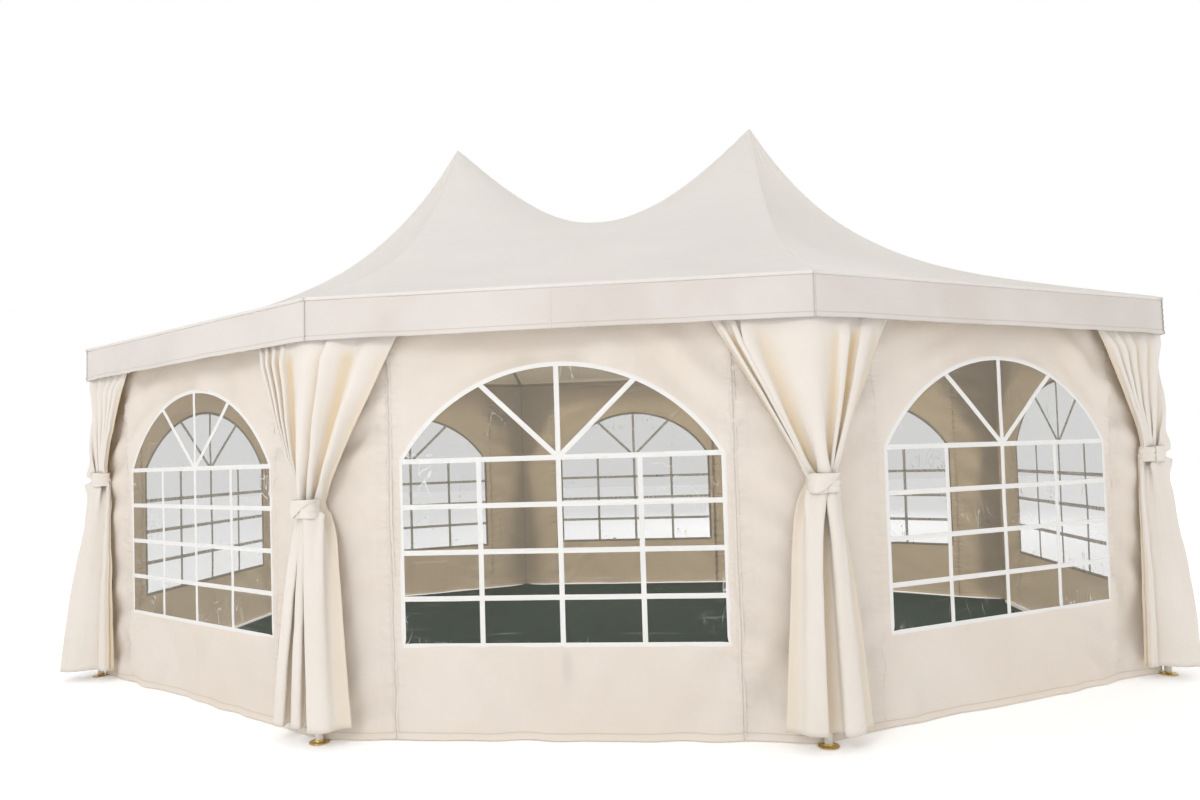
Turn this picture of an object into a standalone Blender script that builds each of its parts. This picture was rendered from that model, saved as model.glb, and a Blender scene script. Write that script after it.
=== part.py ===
"""Octagonal marquee tent with two peaks, walled all round.

Eight steel poles on disc feet stand on an octagon of equal sides, and eave
tubes join their tops. From the poles, rafters rise to two hubs, whose posts
push the roof cloth up into two peaks with a hanging saddle between them. A
skirt hangs from the roof's edge. Inside the poles hang eight wall panels, each with
one arched window of clear film. Outside each pole hangs a curtain, gathered by
a tie band. A groundsheet covers the floor inside the walls.

Metres, +Z up. The origin is on the ground at the middle of the tent, +X runs
along the tent's length and the front faces -Y.
"""

import math

import bmesh
import bpy
import numpy as np

# Driving sizes of the whole tent
CANOPY_LENGTH = 6.80
CANOPY_DEPTH = 5.00
EAVE_HEIGHT = 2.19
PEAK_HEIGHT = 3.86
PEAK_SPACING = 2.32
SADDLE_HEIGHT = 3.14
RIDGE_ROUNDING = 0.6
SKIRT_DEPTH = 0.215
SKIRT_OUTSIDE_POLES = 0.055

# Steel frame
POLE_RADIUS = 0.019
RAFTER_RADIUS = 0.016
FOOT_RADIUS = 0.050
SOCKET_RADIUS = 0.0225
SOCKET_LOW = 2.06
SOCKET_TOP = 2.150
RAIL_HEIGHT = 2.122
RAIL_INSET = 0.008
HUB_RADIUS = 0.055
HUB_HALF_HEIGHT = 0.085
RIDGE_TUBE_BELOW_HUB = 0.03
RAFTER_END_IN_HUB = 0.038
RAFTER_TILT = math.radians(18)
POST_TIP = 0.05
POST_TIP_RADIUS = 0.001

# Fabric thicknesses, thicker than the real cloth
ROOF_CLOTH = 0.008
SKIRT_CLOTH = 0.004
WALL_CLOTH = 0.004
FILM = 0.002
SHEET = 0.003

# Groundsheet: how far its edge lies inside the pole line, and the length of its drawn-out corners
SHEET_INSET = 0.085
SHEET_CORNER = 0.20

# Walls and windows
WALL_HEM = 0.014
WALL_TOP = 2.150
WINDOW_WIDTH = 1.58
WINDOW_SILL = 0.466
WINDOW_SPRING = 1.365
WINDOW_CROWN = 1.816
FILM_LAP = 0.020
ARCH_STEPS = 14

# Curtains and their ties
CURTAIN_TOP = 2.150
CURTAIN_HEM = 0.050
CURTAIN_TOP_REACH = 0.55
CURTAIN_HEM_REACH = 0.23
BUNDLE_REACH = 0.066
BUNDLE_HALF_DEPTH = 0.043
BUNDLE_CLEARANCE = 0.002
# At the end corners the bundle hangs beside its pole, against the slanting wall
LEANS = {2: -1, 3: 1, 6: -1, 7: 1}
LEAN_SLIDE = 0.10
LEAN_HUG = 0.036
LEAN_HUG_START = 0.030
LEAN_HUG_RUN = 0.050
LEAN_INNER = 0.026
TIE_HEIGHT = 0.09
TIE_CLOTH = 0.0025
TIE_LEVELS = {
    "front_left": 1.15,
    "front_right": 1.21,
    "right_front": 1.28,
    "right_back": 1.25,
    "back_right": 1.18,
    "back_left": 1.22,
    "left_back": 1.26,
    "left_front": 1.31,
}

# Small clearances between touching pieces
GAP = 0.0003
RAFTER_CLEARANCE = 0.003

# Mesh fineness
TUBE_SIDES = 16
SLOPE_STEPS = 8
FRONT_STEPS = 8
SECTOR_STEPS = 5

CORNER_NAMES = (
    "front_left",
    "front_right",
    "right_front",
    "right_back",
    "back_right",
    "back_left",
    "left_back",
    "left_front",
)
SIDE_NAMES = (
    "front",
    "front_right",
    "right",
    "back_right",
    "back",
    "back_left",
    "left",
    "front_left",
)

# Sizes that follow from the driving sizes
HALF_LENGTH = CANOPY_LENGTH / 2 - SKIRT_OUTSIDE_POLES
HALF_DEPTH = CANOPY_DEPTH / 2 - SKIRT_OUTSIDE_POLES
RISE = PEAK_HEIGHT - EAVE_HEIGHT
SADDLE_RISE = SADDLE_HEIGHT - EAVE_HEIGHT
PEAK_X = PEAK_SPACING / 2
PANEL_RATIO = PEAK_X / (CANOPY_DEPTH / 2)
WALL_OUTER = -(RAIL_INSET + POLE_RADIUS + GAP)
WALL_INNER = WALL_OUTER - WALL_CLOTH
FILM_OUTER = WALL_INNER - GAP
FILM_INNER = FILM_OUTER - FILM
SKIRT_TOP = EAVE_HEIGHT - ROOF_CLOTH - GAP


def side_length():
    """Side of the octagon whose eight sides are equal, from its two half sizes."""
    total = HALF_LENGTH + HALF_DEPTH
    squares = HALF_LENGTH**2 + HALF_DEPTH**2
    return math.sqrt(total**2 + 2 * squares) - total


def pole_corners():
    """Pole centres in plan, anticlockwise from the front left one."""
    half = side_length() / 2
    quarter = [(half, -HALF_DEPTH), (HALF_LENGTH, -half)]
    right = quarter + [(x, -y) for x, y in reversed(quarter)]
    left = [(-x, -y) for x, y in right]
    ring = right + left
    return np.array([ring[-1]] + ring[:-1])


CORNERS = pole_corners()


def outward(index):
    """Outward normal of the side that starts at a corner."""
    start = CORNERS[index % 8]
    end = CORNERS[(index + 1) % 8]
    along = (end - start) / np.linalg.norm(end - start)
    return np.array((along[1], -along[0]))


def mitre(index):
    """Step from a corner that moves both of its sides outwards by one metre."""
    before = outward(index - 1)
    after = outward(index)
    return (before + after) / (1 + before @ after)


def corner_at(index, offset):
    """A corner of the octagon whose sides lie outside the poles' by an offset."""
    return CORNERS[index % 8] + mitre(index) * offset


def material(name, colour, roughness, metallic=0.0, alpha=1.0):
    """A plain surface finish."""
    finish = bpy.data.materials.new(name)
    finish.use_nodes = True
    shader = finish.node_tree.nodes["Principled BSDF"]
    shader.inputs["Base Color"].default_value = (*colour, 1.0)
    shader.inputs["Roughness"].default_value = roughness
    shader.inputs["Metallic"].default_value = metallic
    shader.inputs["Alpha"].default_value = alpha
    return finish


def add_object(name, vertices, faces, finish, smooth_angle=None):
    """A new object from vertices and faces, with its faces turned outwards."""
    mesh = bpy.data.meshes.new(name)
    mesh.from_pydata([tuple(map(float, v)) for v in vertices], [], faces)
    shape = bmesh.new()
    shape.from_mesh(mesh)
    bmesh.ops.recalc_face_normals(shape, faces=shape.faces)
    shape.to_mesh(mesh)
    shape.free()
    if smooth_angle is not None:
        mesh.shade_smooth()
        mesh.set_sharp_from_angle(angle=math.radians(smooth_angle))
    mesh.materials.append(finish)
    piece = bpy.data.objects.new(name, mesh)
    bpy.context.collection.objects.link(piece)
    return piece


def loft(rings, closed=False):
    """Vertices and faces of a skin over equal rings, capped unless it closes on itself."""
    count = len(rings[0])
    vertices = [point for ring in rings for point in ring]
    faces = []
    spans = len(rings) if closed else len(rings) - 1
    for row in range(spans):
        low = row * count
        high = ((row + 1) % len(rings)) * count
        for column in range(count):
            after = (column + 1) % count
            faces.append((low + column, low + after, high + after, high + column))
    if not closed:
        faces.append(tuple(reversed(range(count))))
        faces.append(tuple(range((len(rings) - 1) * count, len(rings) * count)))
    return vertices, faces


def join(*parts):
    """Vertices and faces of several shapes as one list."""
    vertices = []
    faces = []
    for more_vertices, more_faces in parts:
        start = len(vertices)
        vertices += list(more_vertices)
        faces += [tuple(start + corner for corner in face) for face in more_faces]
    return vertices, faces


def turned(centre, profile, sides=TUBE_SIDES):
    """Vertices and faces of a profile of (radius, height) turned about an upright axis."""
    angles = [2 * math.pi * step / sides for step in range(sides)]
    rings = []
    for radius, height in profile:
        rings.append(
            [(centre[0] + radius * math.cos(a), centre[1] + radius * math.sin(a), height) for a in angles]
        )
    return loft(rings)


def tube(start, end, radius, sides=12):
    """Vertices and faces of a round bar between two points."""
    start = np.array(start, float)
    end = np.array(end, float)
    axis = (end - start) / np.linalg.norm(end - start)
    across = np.cross(axis, (0.0, 0.0, 1.0))
    across /= np.linalg.norm(across)
    upright = np.cross(across, axis)
    rings = []
    for centre in (start, end):
        ring = []
        for step in range(sides):
            angle = 2 * math.pi * step / sides
            ring.append(centre + radius * (math.cos(angle) * across + math.sin(angle) * upright))
        rings.append(ring)
    return loft(rings)


def cut_or_join(piece, operation, name, shape, finish):
    """Cuts a piece with a hidden shape, or joins the shape to it."""
    tool = add_object(name, *shape, finish)
    tool.hide_render = True
    tool.display_type = "WIRE"
    modifier = piece.modifiers.new(name, "BOOLEAN")
    modifier.operation = operation
    modifier.object = tool


# Roof form


def steep_share(kind, slope):
    """Share of the roof's rise that is left along a hip, from 1 at the peak to 0 at the eave.

    A straight fall and a steeper one that dies out towards the eave are mixed. The hips to
    the tent's narrow ends hang a little deeper than those to its long sides.
    """
    left = 1.0 - np.asarray(slope, float)
    if kind == "long":
        return 0.50 * left + 0.50 * left**3
    return 0.42 * left + 0.58 * left**4


def rounded(distance, rounding):
    """A distance of 0 to 1 with its start rounded off, still running from 0 to 1."""
    reach = math.sqrt(1 + rounding**2) - rounding
    return (math.sqrt(distance**2 + rounding**2) - rounding) / reach


def saddle_height(across, slope):
    """Height of the cloth between the two long hips of the front or back.

    The ridge hangs in a curve between the peaks. From each place on it the cloth falls as
    the hips do, but the fall starts level, and the more so the farther the place is from
    the peaks, so the cloth passes over the middle of the tent without a crease. across
    runs from -1 to 1.
    """
    hang = rounded(abs(across), RIDGE_ROUNDING)
    top = SADDLE_RISE + (RISE - SADDLE_RISE) * hang
    away = 1 - abs(across)
    level_start = PANEL_RATIO * away + 1.2 * away**3
    fall = rounded(slope, level_start) if away > 0.001 else slope
    return EAVE_HEIGHT + top * float(steep_share("long", fall))


def hip_point(corner, slope):
    """Point of the roof's upper face on the hip from a corner to its peak."""
    foot = corner_at(corner, SKIRT_OUTSIDE_POLES)
    peak = np.array((math.copysign(PEAK_X, foot[0]), 0.0))
    plan = peak + (foot - peak) * slope
    kind = "long" if CORNER_NAMES[corner].startswith(("front", "back")) else "end"
    height = EAVE_HEIGHT + RISE * float(steep_share(kind, slope))
    return np.array((plan[0], plan[1], height))


def panel_point(corner, across, slope):
    """Point of the roof's upper face in the panel above the side that starts at a corner."""
    one = hip_point(corner, slope)
    two = hip_point((corner + 1) % 8, slope)
    point = one + (two - one) * across
    if SIDE_NAMES[corner] in ("front", "back"):
        point[2] = saddle_height(2 * across - 1, slope)
        return point
    hang = 0.28 * slope * (1 - slope) * 4 * across * (1 - across)
    point[2] -= hang
    return point


def roof_shape():
    """Vertices and faces of the roof cloth, its edge and its underside."""
    places = {}
    vertices = []
    faces = []

    def vertex(point, lower):
        key = (round(point[0], 5), round(point[1], 5), lower)
        if key not in places:
            places[key] = len(vertices)
            drop = ROOF_CLOTH if lower else 0.0
            vertices.append((point[0], point[1], point[2] - drop))
        return places[key]

    for corner in range(8):
        wide = SIDE_NAMES[corner] in ("front", "back")
        steps = FRONT_STEPS if wide else SECTOR_STEPS
        grid = [
            [panel_point(corner, i / steps, j / SLOPE_STEPS) for i in range(steps + 1)]
            for j in range(SLOPE_STEPS + 1)
        ]
        for lower in (False, True):
            for j in range(SLOPE_STEPS):
                for i in range(steps):
                    ring = (grid[j][i], grid[j][i + 1], grid[j + 1][i + 1], grid[j + 1][i])
                    face = []
                    for point in ring:
                        index = vertex(point, lower)
                        if index not in face:
                            face.append(index)
                    if len(face) == 3:
                        faces.append(tuple(face))
                        continue
                    first, second, third, fourth = face
                    if 2 * i < steps:
                        faces += [(first, second, third), (first, third, fourth)]
                    else:
                        faces += [(first, second, fourth), (second, third, fourth)]
        for i in range(steps):
            edge = (grid[-1][i], grid[-1][i + 1])
            upper = [vertex(point, False) for point in edge]
            under = [vertex(point, True) for point in edge]
            faces.append((upper[0], upper[1], under[1], under[0]))
    return vertices, faces


def build_roof(finish):
    """The roof cloth over both peaks."""
    add_object("roof_canopy", *roof_shape(), finish, smooth_angle=35)


def build_skirt(finish):
    """The skirt that hangs from the roof's edge, one band round the tent."""
    low = EAVE_HEIGHT - SKIRT_DEPTH
    rings = []
    for index in range(8):
        outer = corner_at(index, SKIRT_OUTSIDE_POLES)
        inner = corner_at(index, SKIRT_OUTSIDE_POLES - SKIRT_CLOTH)
        rings.append([(*outer, low), (*outer, SKIRT_TOP), (*inner, SKIRT_TOP), (*inner, low)])
    add_object("valance", *loft(rings, closed=True), finish)


# Steel frame


def build_poles(finish):
    """Eight poles, each from its disc foot to the socket fitting at its top.

    A short collar rises from the disc. The fitting takes the ends of two eave tubes, and a
    rafter stands on it.
    """
    profile = [
        (FOOT_RADIUS - 0.003, 0.0),
        (FOOT_RADIUS, 0.0025),
        (FOOT_RADIUS, 0.0060),
        (FOOT_RADIUS - 0.004, 0.0085),
        (POLE_RADIUS + 0.006, 0.0120),
        (POLE_RADIUS, 0.0180),
        (POLE_RADIUS, SOCKET_LOW),
        (SOCKET_RADIUS, SOCKET_LOW),
        (SOCKET_RADIUS, SOCKET_TOP),
    ]
    for index, name in enumerate(CORNER_NAMES):
        add_object(f"pole_{name}", *turned(CORNERS[index], profile), finish, smooth_angle=40)


def build_eave_tubes(finish):
    """A level tube between each two poles' fittings, which carries a wall."""
    for side, name in enumerate(SIDE_NAMES):
        half = side_length() / 2 - SOCKET_RADIUS - GAP
        ends = [on_side(side, along, -RAIL_INSET, RAIL_HEIGHT) for along in (-half, half)]
        add_object(f"{name}_eave_tube", *tube(*ends, POLE_RADIUS), finish, smooth_angle=40)


def rafter_ends(corner, hub_level):
    """Axis ends of a rafter, from its socket's top to its hub."""
    foot = CORNERS[corner]
    peak = np.array((math.copysign(PEAK_X, foot[0]), 0.0))
    run = np.linalg.norm(peak - foot)
    heading = (peak - foot) / run
    tilt = math.atan2(hub_level - SOCKET_TOP, run)
    low = SOCKET_TOP + GAP + RAFTER_RADIUS * math.cos(tilt)
    start = (*foot, low)
    end = (*(foot + heading * (run - RAFTER_END_IN_HUB)), hub_level)
    return start, end


def hub_height():
    """Highest level of the hubs' middle at which every rafter stays under the cloth."""
    levels = []
    for corner in range(8):
        foot = CORNERS[corner]
        peak = np.array((math.copysign(PEAK_X, foot[0]), 0.0))
        run = np.linalg.norm(peak - foot)
        low = SOCKET_TOP + GAP + RAFTER_RADIUS
        for step in range(1, SLOPE_STEPS):
            cloth = hip_point(corner, step / SLOPE_STEPS)
            reach = np.linalg.norm(cloth[:2] - foot)
            under = cloth[2] - ROOF_CLOTH - RAFTER_CLEARANCE - RAFTER_RADIUS / math.cos(RAFTER_TILT)
            levels.append(low + (under - low) * (run - RAFTER_END_IN_HUB) / reach)
    return min(levels)


def build_roof_frames(finish):
    """Two hubs with the post of each peak, four rafters on each, and the tube between them."""
    middle = hub_height()
    for side, name in ((1, "right"), (-1, "left")):
        centre = (side * PEAK_X, 0.0)
        top = PEAK_HEIGHT - ROOF_CLOTH - 2 * POST_TIP_RADIUS
        profile = [
            (HUB_RADIUS, middle - HUB_HALF_HEIGHT),
            (HUB_RADIUS, middle + HUB_HALF_HEIGHT),
            (RAFTER_RADIUS, middle + HUB_HALF_HEIGHT + 0.012),
            (RAFTER_RADIUS, top - POST_TIP),
            (POST_TIP_RADIUS, top),
        ]
        frame = add_object(f"roof_frame_{name}", *turned(centre, profile), finish, smooth_angle=40)
        corners = [index for index in range(8) if CORNERS[index][0] * side > 0]
        rafters = join(*(tube(*rafter_ends(index, middle), RAFTER_RADIUS) for index in corners))
        cut_or_join(frame, "UNION", f"rafters_{name}", rafters, finish)
    level = middle - RIDGE_TUBE_BELOW_HUB
    end = PEAK_X - HUB_RADIUS - GAP
    add_object(
        "ridge_tube", *tube((-end, 0, level), (end, 0, level), RAFTER_RADIUS), finish, smooth_angle=40
    )


# Walls and windows


def arch_outline(grow=0.0):
    """Window outline as (along, height) from its middle: a sill, two jambs and a round arch."""
    half = WINDOW_WIDTH / 2
    crown_rise = WINDOW_CROWN - WINDOW_SPRING
    radius = (half**2 + crown_rise**2) / (2 * crown_rise)
    centre = WINDOW_CROWN - radius
    spread = math.asin(half / radius)
    points = [(-half - grow, WINDOW_SILL - grow), (half + grow, WINDOW_SILL - grow)]
    reach = radius + grow
    for step in range(ARCH_STEPS + 1):
        angle = spread * (1 - 2 * step / ARCH_STEPS)
        along = math.copysign(min(abs(reach * math.sin(angle)), half + grow), angle)
        points.append((along, centre + reach * math.cos(angle)))
    return points


def on_side(side, along, offset, height):
    """A point given along a side from its middle, outside the pole line, and its height."""
    middle = (CORNERS[side] + CORNERS[(side + 1) % 8]) / 2
    normal = outward(side)
    heading = np.array((-normal[1], normal[0]))
    plan = middle + heading * along + normal * offset
    return (plan[0], plan[1], height)


def build_walls(finish):
    """Eight wall panels between the eave ring and their hems, each cut for its window."""
    for side, name in enumerate(SIDE_NAMES):
        normal = outward(side)
        heading = np.array((-normal[1], normal[0]))
        rings = []
        for offset in (WALL_OUTER, WALL_INNER):
            one = corner_at(side, offset) + heading * GAP
            two = corner_at(side + 1, offset) - heading * GAP
            rings.append([(*one, WALL_HEM), (*two, WALL_HEM), (*two, WALL_TOP), (*one, WALL_TOP)])
        wall = add_object(f"{name}_wall", *loft(rings), finish)
        cutter = [
            [on_side(side, along, offset, height) for along, height in arch_outline()]
            for offset in (WALL_OUTER + 0.02, WALL_INNER - 0.02)
        ]
        cut_or_join(wall, "DIFFERENCE", f"{name}_window_opening", loft(cutter), finish)


def build_windows(finish):
    """A sheet of clear film behind each opening, lapping its edge all round."""
    for side, name in enumerate(SIDE_NAMES):
        rings = [
            [on_side(side, along, offset, height) for along, height in arch_outline(FILM_LAP)]
            for offset in (FILM_OUTER, FILM_INNER)
        ]
        add_object(f"{name}_window", *loft(rings), finish)


# Curtains


def corner_axes(index):
    """Outward and sideways directions at a corner, and half the turn between its sides."""
    step = mitre(index)
    out = step / np.linalg.norm(step)
    side = np.array((-out[1], out[0]))
    half_turn = math.acos(min(1.0, float(out @ outward(index))))
    return out, side, half_turn


def curtain_section(tie_level, height):
    """Reach to each side, inner face, half depth, share of the corner's bend and bluntness."""
    inner_top = SOCKET_RADIUS + 2 * GAP
    outer_top = SKIRT_OUTSIDE_POLES - SKIRT_CLOTH - GAP
    depth_top = (outer_top - inner_top) / 2
    skirt_low = EAVE_HEIGHT - SKIRT_DEPTH
    inner_tie = POLE_RADIUS + BUNDLE_CLEARANCE
    if height >= skirt_low:
        fall = (CURTAIN_TOP - height) / (CURTAIN_TOP - tie_level)
        reach = CURTAIN_TOP_REACH + (BUNDLE_REACH - CURTAIN_TOP_REACH) * fall
        return reach, inner_top, depth_top, 1.0, 6.0
    if height >= tie_level:
        fall = (CURTAIN_TOP - height) / (CURTAIN_TOP - tie_level)
        start = (CURTAIN_TOP - skirt_low) / (CURTAIN_TOP - tie_level)
        share = (fall - start) / (1 - start)
        reach = CURTAIN_TOP_REACH + (BUNDLE_REACH - CURTAIN_TOP_REACH) * fall
        inner = inner_top + (inner_tie - inner_top) * share
        depth = depth_top + (BUNDLE_HALF_DEPTH - depth_top) * share**2
        return reach, inner, depth, 1 - share**3, 6.0 - 4.0 * share
    fall = (tie_level - height) / (tie_level - CURTAIN_HEM)
    reach = BUNDLE_REACH + (CURTAIN_HEM_REACH - BUNDLE_REACH) * fall**0.75
    inner = inner_tie + 0.055 * math.sqrt(fall)
    depth = BUNDLE_HALF_DEPTH * (1 - 0.25 * fall)
    return reach, inner, depth, 0.5 * fall, 2.0 + 2.0 * fall


def smooth(x):
    """A rise from 0 to 1 with level ends."""
    x = min(1.0, max(0.0, x))
    return x * x * (3 - 2 * x)


def leaning_section(tie_level, height):
    """The same for a curtain beside its pole, with its slide along the walls and its shift towards them."""
    reach, inner, depth, _, bluntness = curtain_section(tie_level, height)
    if height >= tie_level:
        up = (height - tie_level) / (CURTAIN_TOP - tie_level)
        skirt_low = EAVE_HEIGHT - SKIRT_DEPTH
        if height < skirt_low:
            inner_top = SOCKET_RADIUS + 2 * GAP
            below_skirt = (skirt_low - height) / (skirt_low - tie_level)
            inner = inner_top + (LEAN_INNER - inner_top) * below_skirt
        return reach, inner, depth, bluntness, LEAN_SLIDE * (1 - up), LEAN_HUG * math.exp(-up / 0.10)
    fall = (tie_level - height) / (tie_level - CURTAIN_HEM)
    inner = LEAN_INNER + 0.015 * math.sqrt(fall)
    slide = LEAN_SLIDE * (1 - 0.45 * fall)
    return reach, inner, BUNDLE_HALF_DEPTH, bluntness, slide, LEAN_HUG * (1 - 0.3 * fall)


def curtain_ring(index, height, tie_level):
    """Closed outline of a curtain at a height, with a point where it passes the corner."""
    out, side, half_turn = corner_axes(index)
    lean = LEANS.get(index, 0)
    if lean:
        reach, inner, depth, bluntness, slide, hug = leaning_section(tie_level, height)
        bend = 1.0
        steps = 4
    else:
        reach, inner, depth, bend, bluntness = curtain_section(tie_level, height)
        slide = hug = 0.0
        steps = 3
    turn = half_turn * bend
    corner_place = min(0.85, max(-0.85, -lean * slide / reach))
    quarter = [math.pi / 2 * step / steps for step in range(steps + 1)]
    places = [-1 + (corner_place + 1) * (1 - math.cos(angle)) for angle in quarter]
    places += [corner_place + (1 - corner_place) * math.sin(angle) for angle in quarter[1:]]
    rows = {1: [], -1: []}
    for place in places:
        along = reach * place + lean * slide
        back = abs(along) * math.sin(turn)
        sideways = along * math.cos(turn)
        half = depth * math.sqrt(max(0.0, 1 - abs(place) ** bluntness))
        middle = inner + depth - hug * smooth((lean * along - LEAN_HUG_START) / LEAN_HUG_RUN)
        for face in (1, -1):
            reach_out = (middle + face * half) / math.cos(turn) - back
            point = CORNERS[index] + side * sideways + out * reach_out
            rows[face].append((point[0], point[1], height))
    return rows[1] + rows[-1][-2:0:-1]


def build_curtains(finish):
    """A curtain outside each pole, wide at the top, bundled at its tie and flared below."""
    for index, name in enumerate(CORNER_NAMES):
        tie_level = TIE_LEVELS[name]
        skirt_low = EAVE_HEIGHT - SKIRT_DEPTH
        share = np.linspace(0, 1, 9 if index in LEANS else 4)
        if index in LEANS:
            share = share * (2 - share)
        high = tie_level + TIE_HEIGHT / 2
        upper = skirt_low - 0.002 + (high - skirt_low + 0.002) * share
        lower = np.linspace(tie_level - TIE_HEIGHT / 2, CURTAIN_HEM, 8 if index in LEANS else 5)
        heights = [CURTAIN_TOP, skirt_low, *upper[1:], *lower]
        rings = []
        for height in heights:
            level = tie_level if abs(height - tie_level) <= TIE_HEIGHT / 2 + 1e-6 else height
            ring = curtain_ring(index, level, tie_level)
            rings.append([(x, y, height) for x, y, _ in ring])
        add_object(f"curtain_{name}", *loft(rings), finish, smooth_angle=50)


def hull(points):
    """The tightest outline round points in plan, anticlockwise."""
    ordered = sorted(set((round(float(x), 6), round(float(y), 6)) for x, y in points))
    outline = []
    for run in (ordered, ordered[::-1]):
        line = []
        for point in run:
            while len(line) > 1:
                (x0, y0), (x1, y1) = line[-2:]
                if (x1 - x0) * (point[1] - y0) - (y1 - y0) * (point[0] - x0) > 1e-7:
                    break
                line.pop()
            line.append(point)
        outline += line[:-1]
    return [np.array(point) for point in outline]


def grown(outline, distance):
    """An anticlockwise outline moved outwards."""
    moved = []
    for number, point in enumerate(outline):
        before = point - outline[number - 1]
        after = outline[(number + 1) % len(outline)] - point
        one = np.array((before[1], -before[0])) / np.linalg.norm(before)
        two = np.array((after[1], -after[0])) / np.linalg.norm(after)
        moved.append(point + (one + two) / (1 + one @ two) * distance)
    return moved


def tie_outlines(index, tie_level):
    """Inner and outer outline of a tie: a blunt oval, or the tightest line round a pole and a bundle beside it."""
    if index in LEANS:
        bundle = [point[:2] for point in curtain_ring(index, tie_level, tie_level)]
        angles = [2 * math.pi * step / 24 for step in range(24)]
        pole = [CORNERS[index] + np.array((math.cos(a), math.sin(a))) * (POLE_RADIUS + GAP) for a in angles]
        line = hull(bundle + pole)
        return grown(line, GAP), grown(line, GAP + TIE_CLOTH)
    out, side, _ = corner_axes(index)
    near = -(POLE_RADIUS + GAP)
    far = POLE_RADIUS + BUNDLE_CLEARANCE + 2 * BUNDLE_HALF_DEPTH + GAP
    outlines = []
    for grow in (0.0, TIE_CLOTH):
        outline = []
        for step in range(16):
            angle = 2 * math.pi * step / 16
            lift = math.copysign(abs(math.cos(angle)) ** 0.62, math.cos(angle))
            shift = math.copysign(abs(math.sin(angle)) ** 0.62, math.sin(angle))
            half_out = (far - near) / 2 + grow
            half_side = BUNDLE_REACH + 0.004 + grow
            outline.append(CORNERS[index] + out * ((far + near) / 2 + half_out * lift) + side * half_side * shift)
        outlines.append(outline)
    return outlines


def build_ties(finish):
    """A band round each pole and its bundled curtain."""
    for index, name in enumerate(CORNER_NAMES):
        low = TIE_LEVELS[name] - TIE_HEIGHT / 2
        high = TIE_LEVELS[name] + TIE_HEIGHT / 2
        rings = []
        for inner, outer in zip(*tie_outlines(index, TIE_LEVELS[name])):
            rings.append([(*inner, low), (*outer, low), (*outer, high), (*inner, high)])
        add_object(f"tie_{name}", *loft(rings, closed=True), finish, smooth_angle=50)


def build_groundsheet(finish):
    """The sheet on the floor, a little inside the walls, its corners drawn out to the disc feet."""
    outline = []
    for index in range(8):
        reach = side_length() / 2 - SHEET_CORNER
        outline.append(on_side((index - 1) % 8, reach, -SHEET_INSET, 0.0)[:2])
        outline.append(tuple(corner_at(index, WALL_OUTER)))
        outline.append(on_side(index, -reach, -SHEET_INSET, 0.0)[:2])
    rings = []
    for height in (0.0, SHEET):
        rings.append([(*point, height) for point in outline])
    sheet = add_object("groundsheet", *loft(rings), finish)
    reach = FOOT_RADIUS + GAP
    cuts = join(*(turned(centre, [(reach, -0.01), (reach, 0.02)]) for centre in CORNERS))
    cut_or_join(sheet, "DIFFERENCE", "foot_clearances", cuts, finish)


def main():
    """Builds the tent in an emptied scene."""
    for piece in list(bpy.data.objects):
        bpy.data.objects.remove(piece, do_unlink=True)
    steel = material("zinc_plated_steel", (0.62, 0.55, 0.40), 0.40, metallic=0.9)
    frame_steel = material("frame_steel", (0.60, 0.60, 0.58), 0.45, metallic=0.3)
    roof_cloth = material("roof_cloth", (0.78, 0.77, 0.76), 0.60)
    wall_cloth = material("wall_cloth", (0.80, 0.76, 0.69), 0.65)
    curtain_cloth = material("curtain_cloth", (0.79, 0.73, 0.63), 0.70)
    film = material("clear_film", (0.80, 0.82, 0.82), 0.10, alpha=0.25)
    sheet = material("groundsheet_cloth", (0.03, 0.07, 0.04), 0.60)
    build_poles(steel)
    build_eave_tubes(frame_steel)
    build_roof_frames(frame_steel)
    build_roof(roof_cloth)
    build_skirt(wall_cloth)
    build_walls(wall_cloth)
    build_windows(film)
    build_curtains(curtain_cloth)
    build_ties(curtain_cloth)
    build_groundsheet(sheet)


main()
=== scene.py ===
"""Looks of an octagonal marquee tent with two peaks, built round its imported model.

Every cloth piece is a surface worked out with numpy from the tent's plan: the roof
with its two peaks and welted seams, the skirt, the walls with their arched windows,
the gathered curtains and their ties. Metres, +Z up, front towards -Y.
"""

import logging
import math
from collections.abc import Sequence
from dataclasses import dataclass, field, replace
from enum import Enum
from typing import ClassVar

import bmesh
import bpy
import numpy as np
import numpy.typing as npt
from mathutils import Matrix


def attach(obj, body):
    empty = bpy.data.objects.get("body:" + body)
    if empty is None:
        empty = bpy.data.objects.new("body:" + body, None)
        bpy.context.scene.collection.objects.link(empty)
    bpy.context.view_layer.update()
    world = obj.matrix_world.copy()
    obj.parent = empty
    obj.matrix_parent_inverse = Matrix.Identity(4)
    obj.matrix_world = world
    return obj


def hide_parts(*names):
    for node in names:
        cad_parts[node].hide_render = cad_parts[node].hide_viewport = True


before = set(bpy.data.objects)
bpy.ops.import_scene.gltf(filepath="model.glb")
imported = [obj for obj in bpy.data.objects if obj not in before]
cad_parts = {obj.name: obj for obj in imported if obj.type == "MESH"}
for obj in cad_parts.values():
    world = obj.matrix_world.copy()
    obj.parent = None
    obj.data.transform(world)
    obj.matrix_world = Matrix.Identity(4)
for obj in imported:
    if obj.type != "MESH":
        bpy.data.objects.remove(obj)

Points = npt.NDArray[np.float64]
Quads = npt.NDArray[np.int64]
Source = bpy.types.Node | bpy.types.NodeSocket
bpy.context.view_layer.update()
LOG = logging.getLogger("marquee")
# Radius with which cloth bends round a pole's corner of the walls
CORNER_ROUNDING = 0.02


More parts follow.
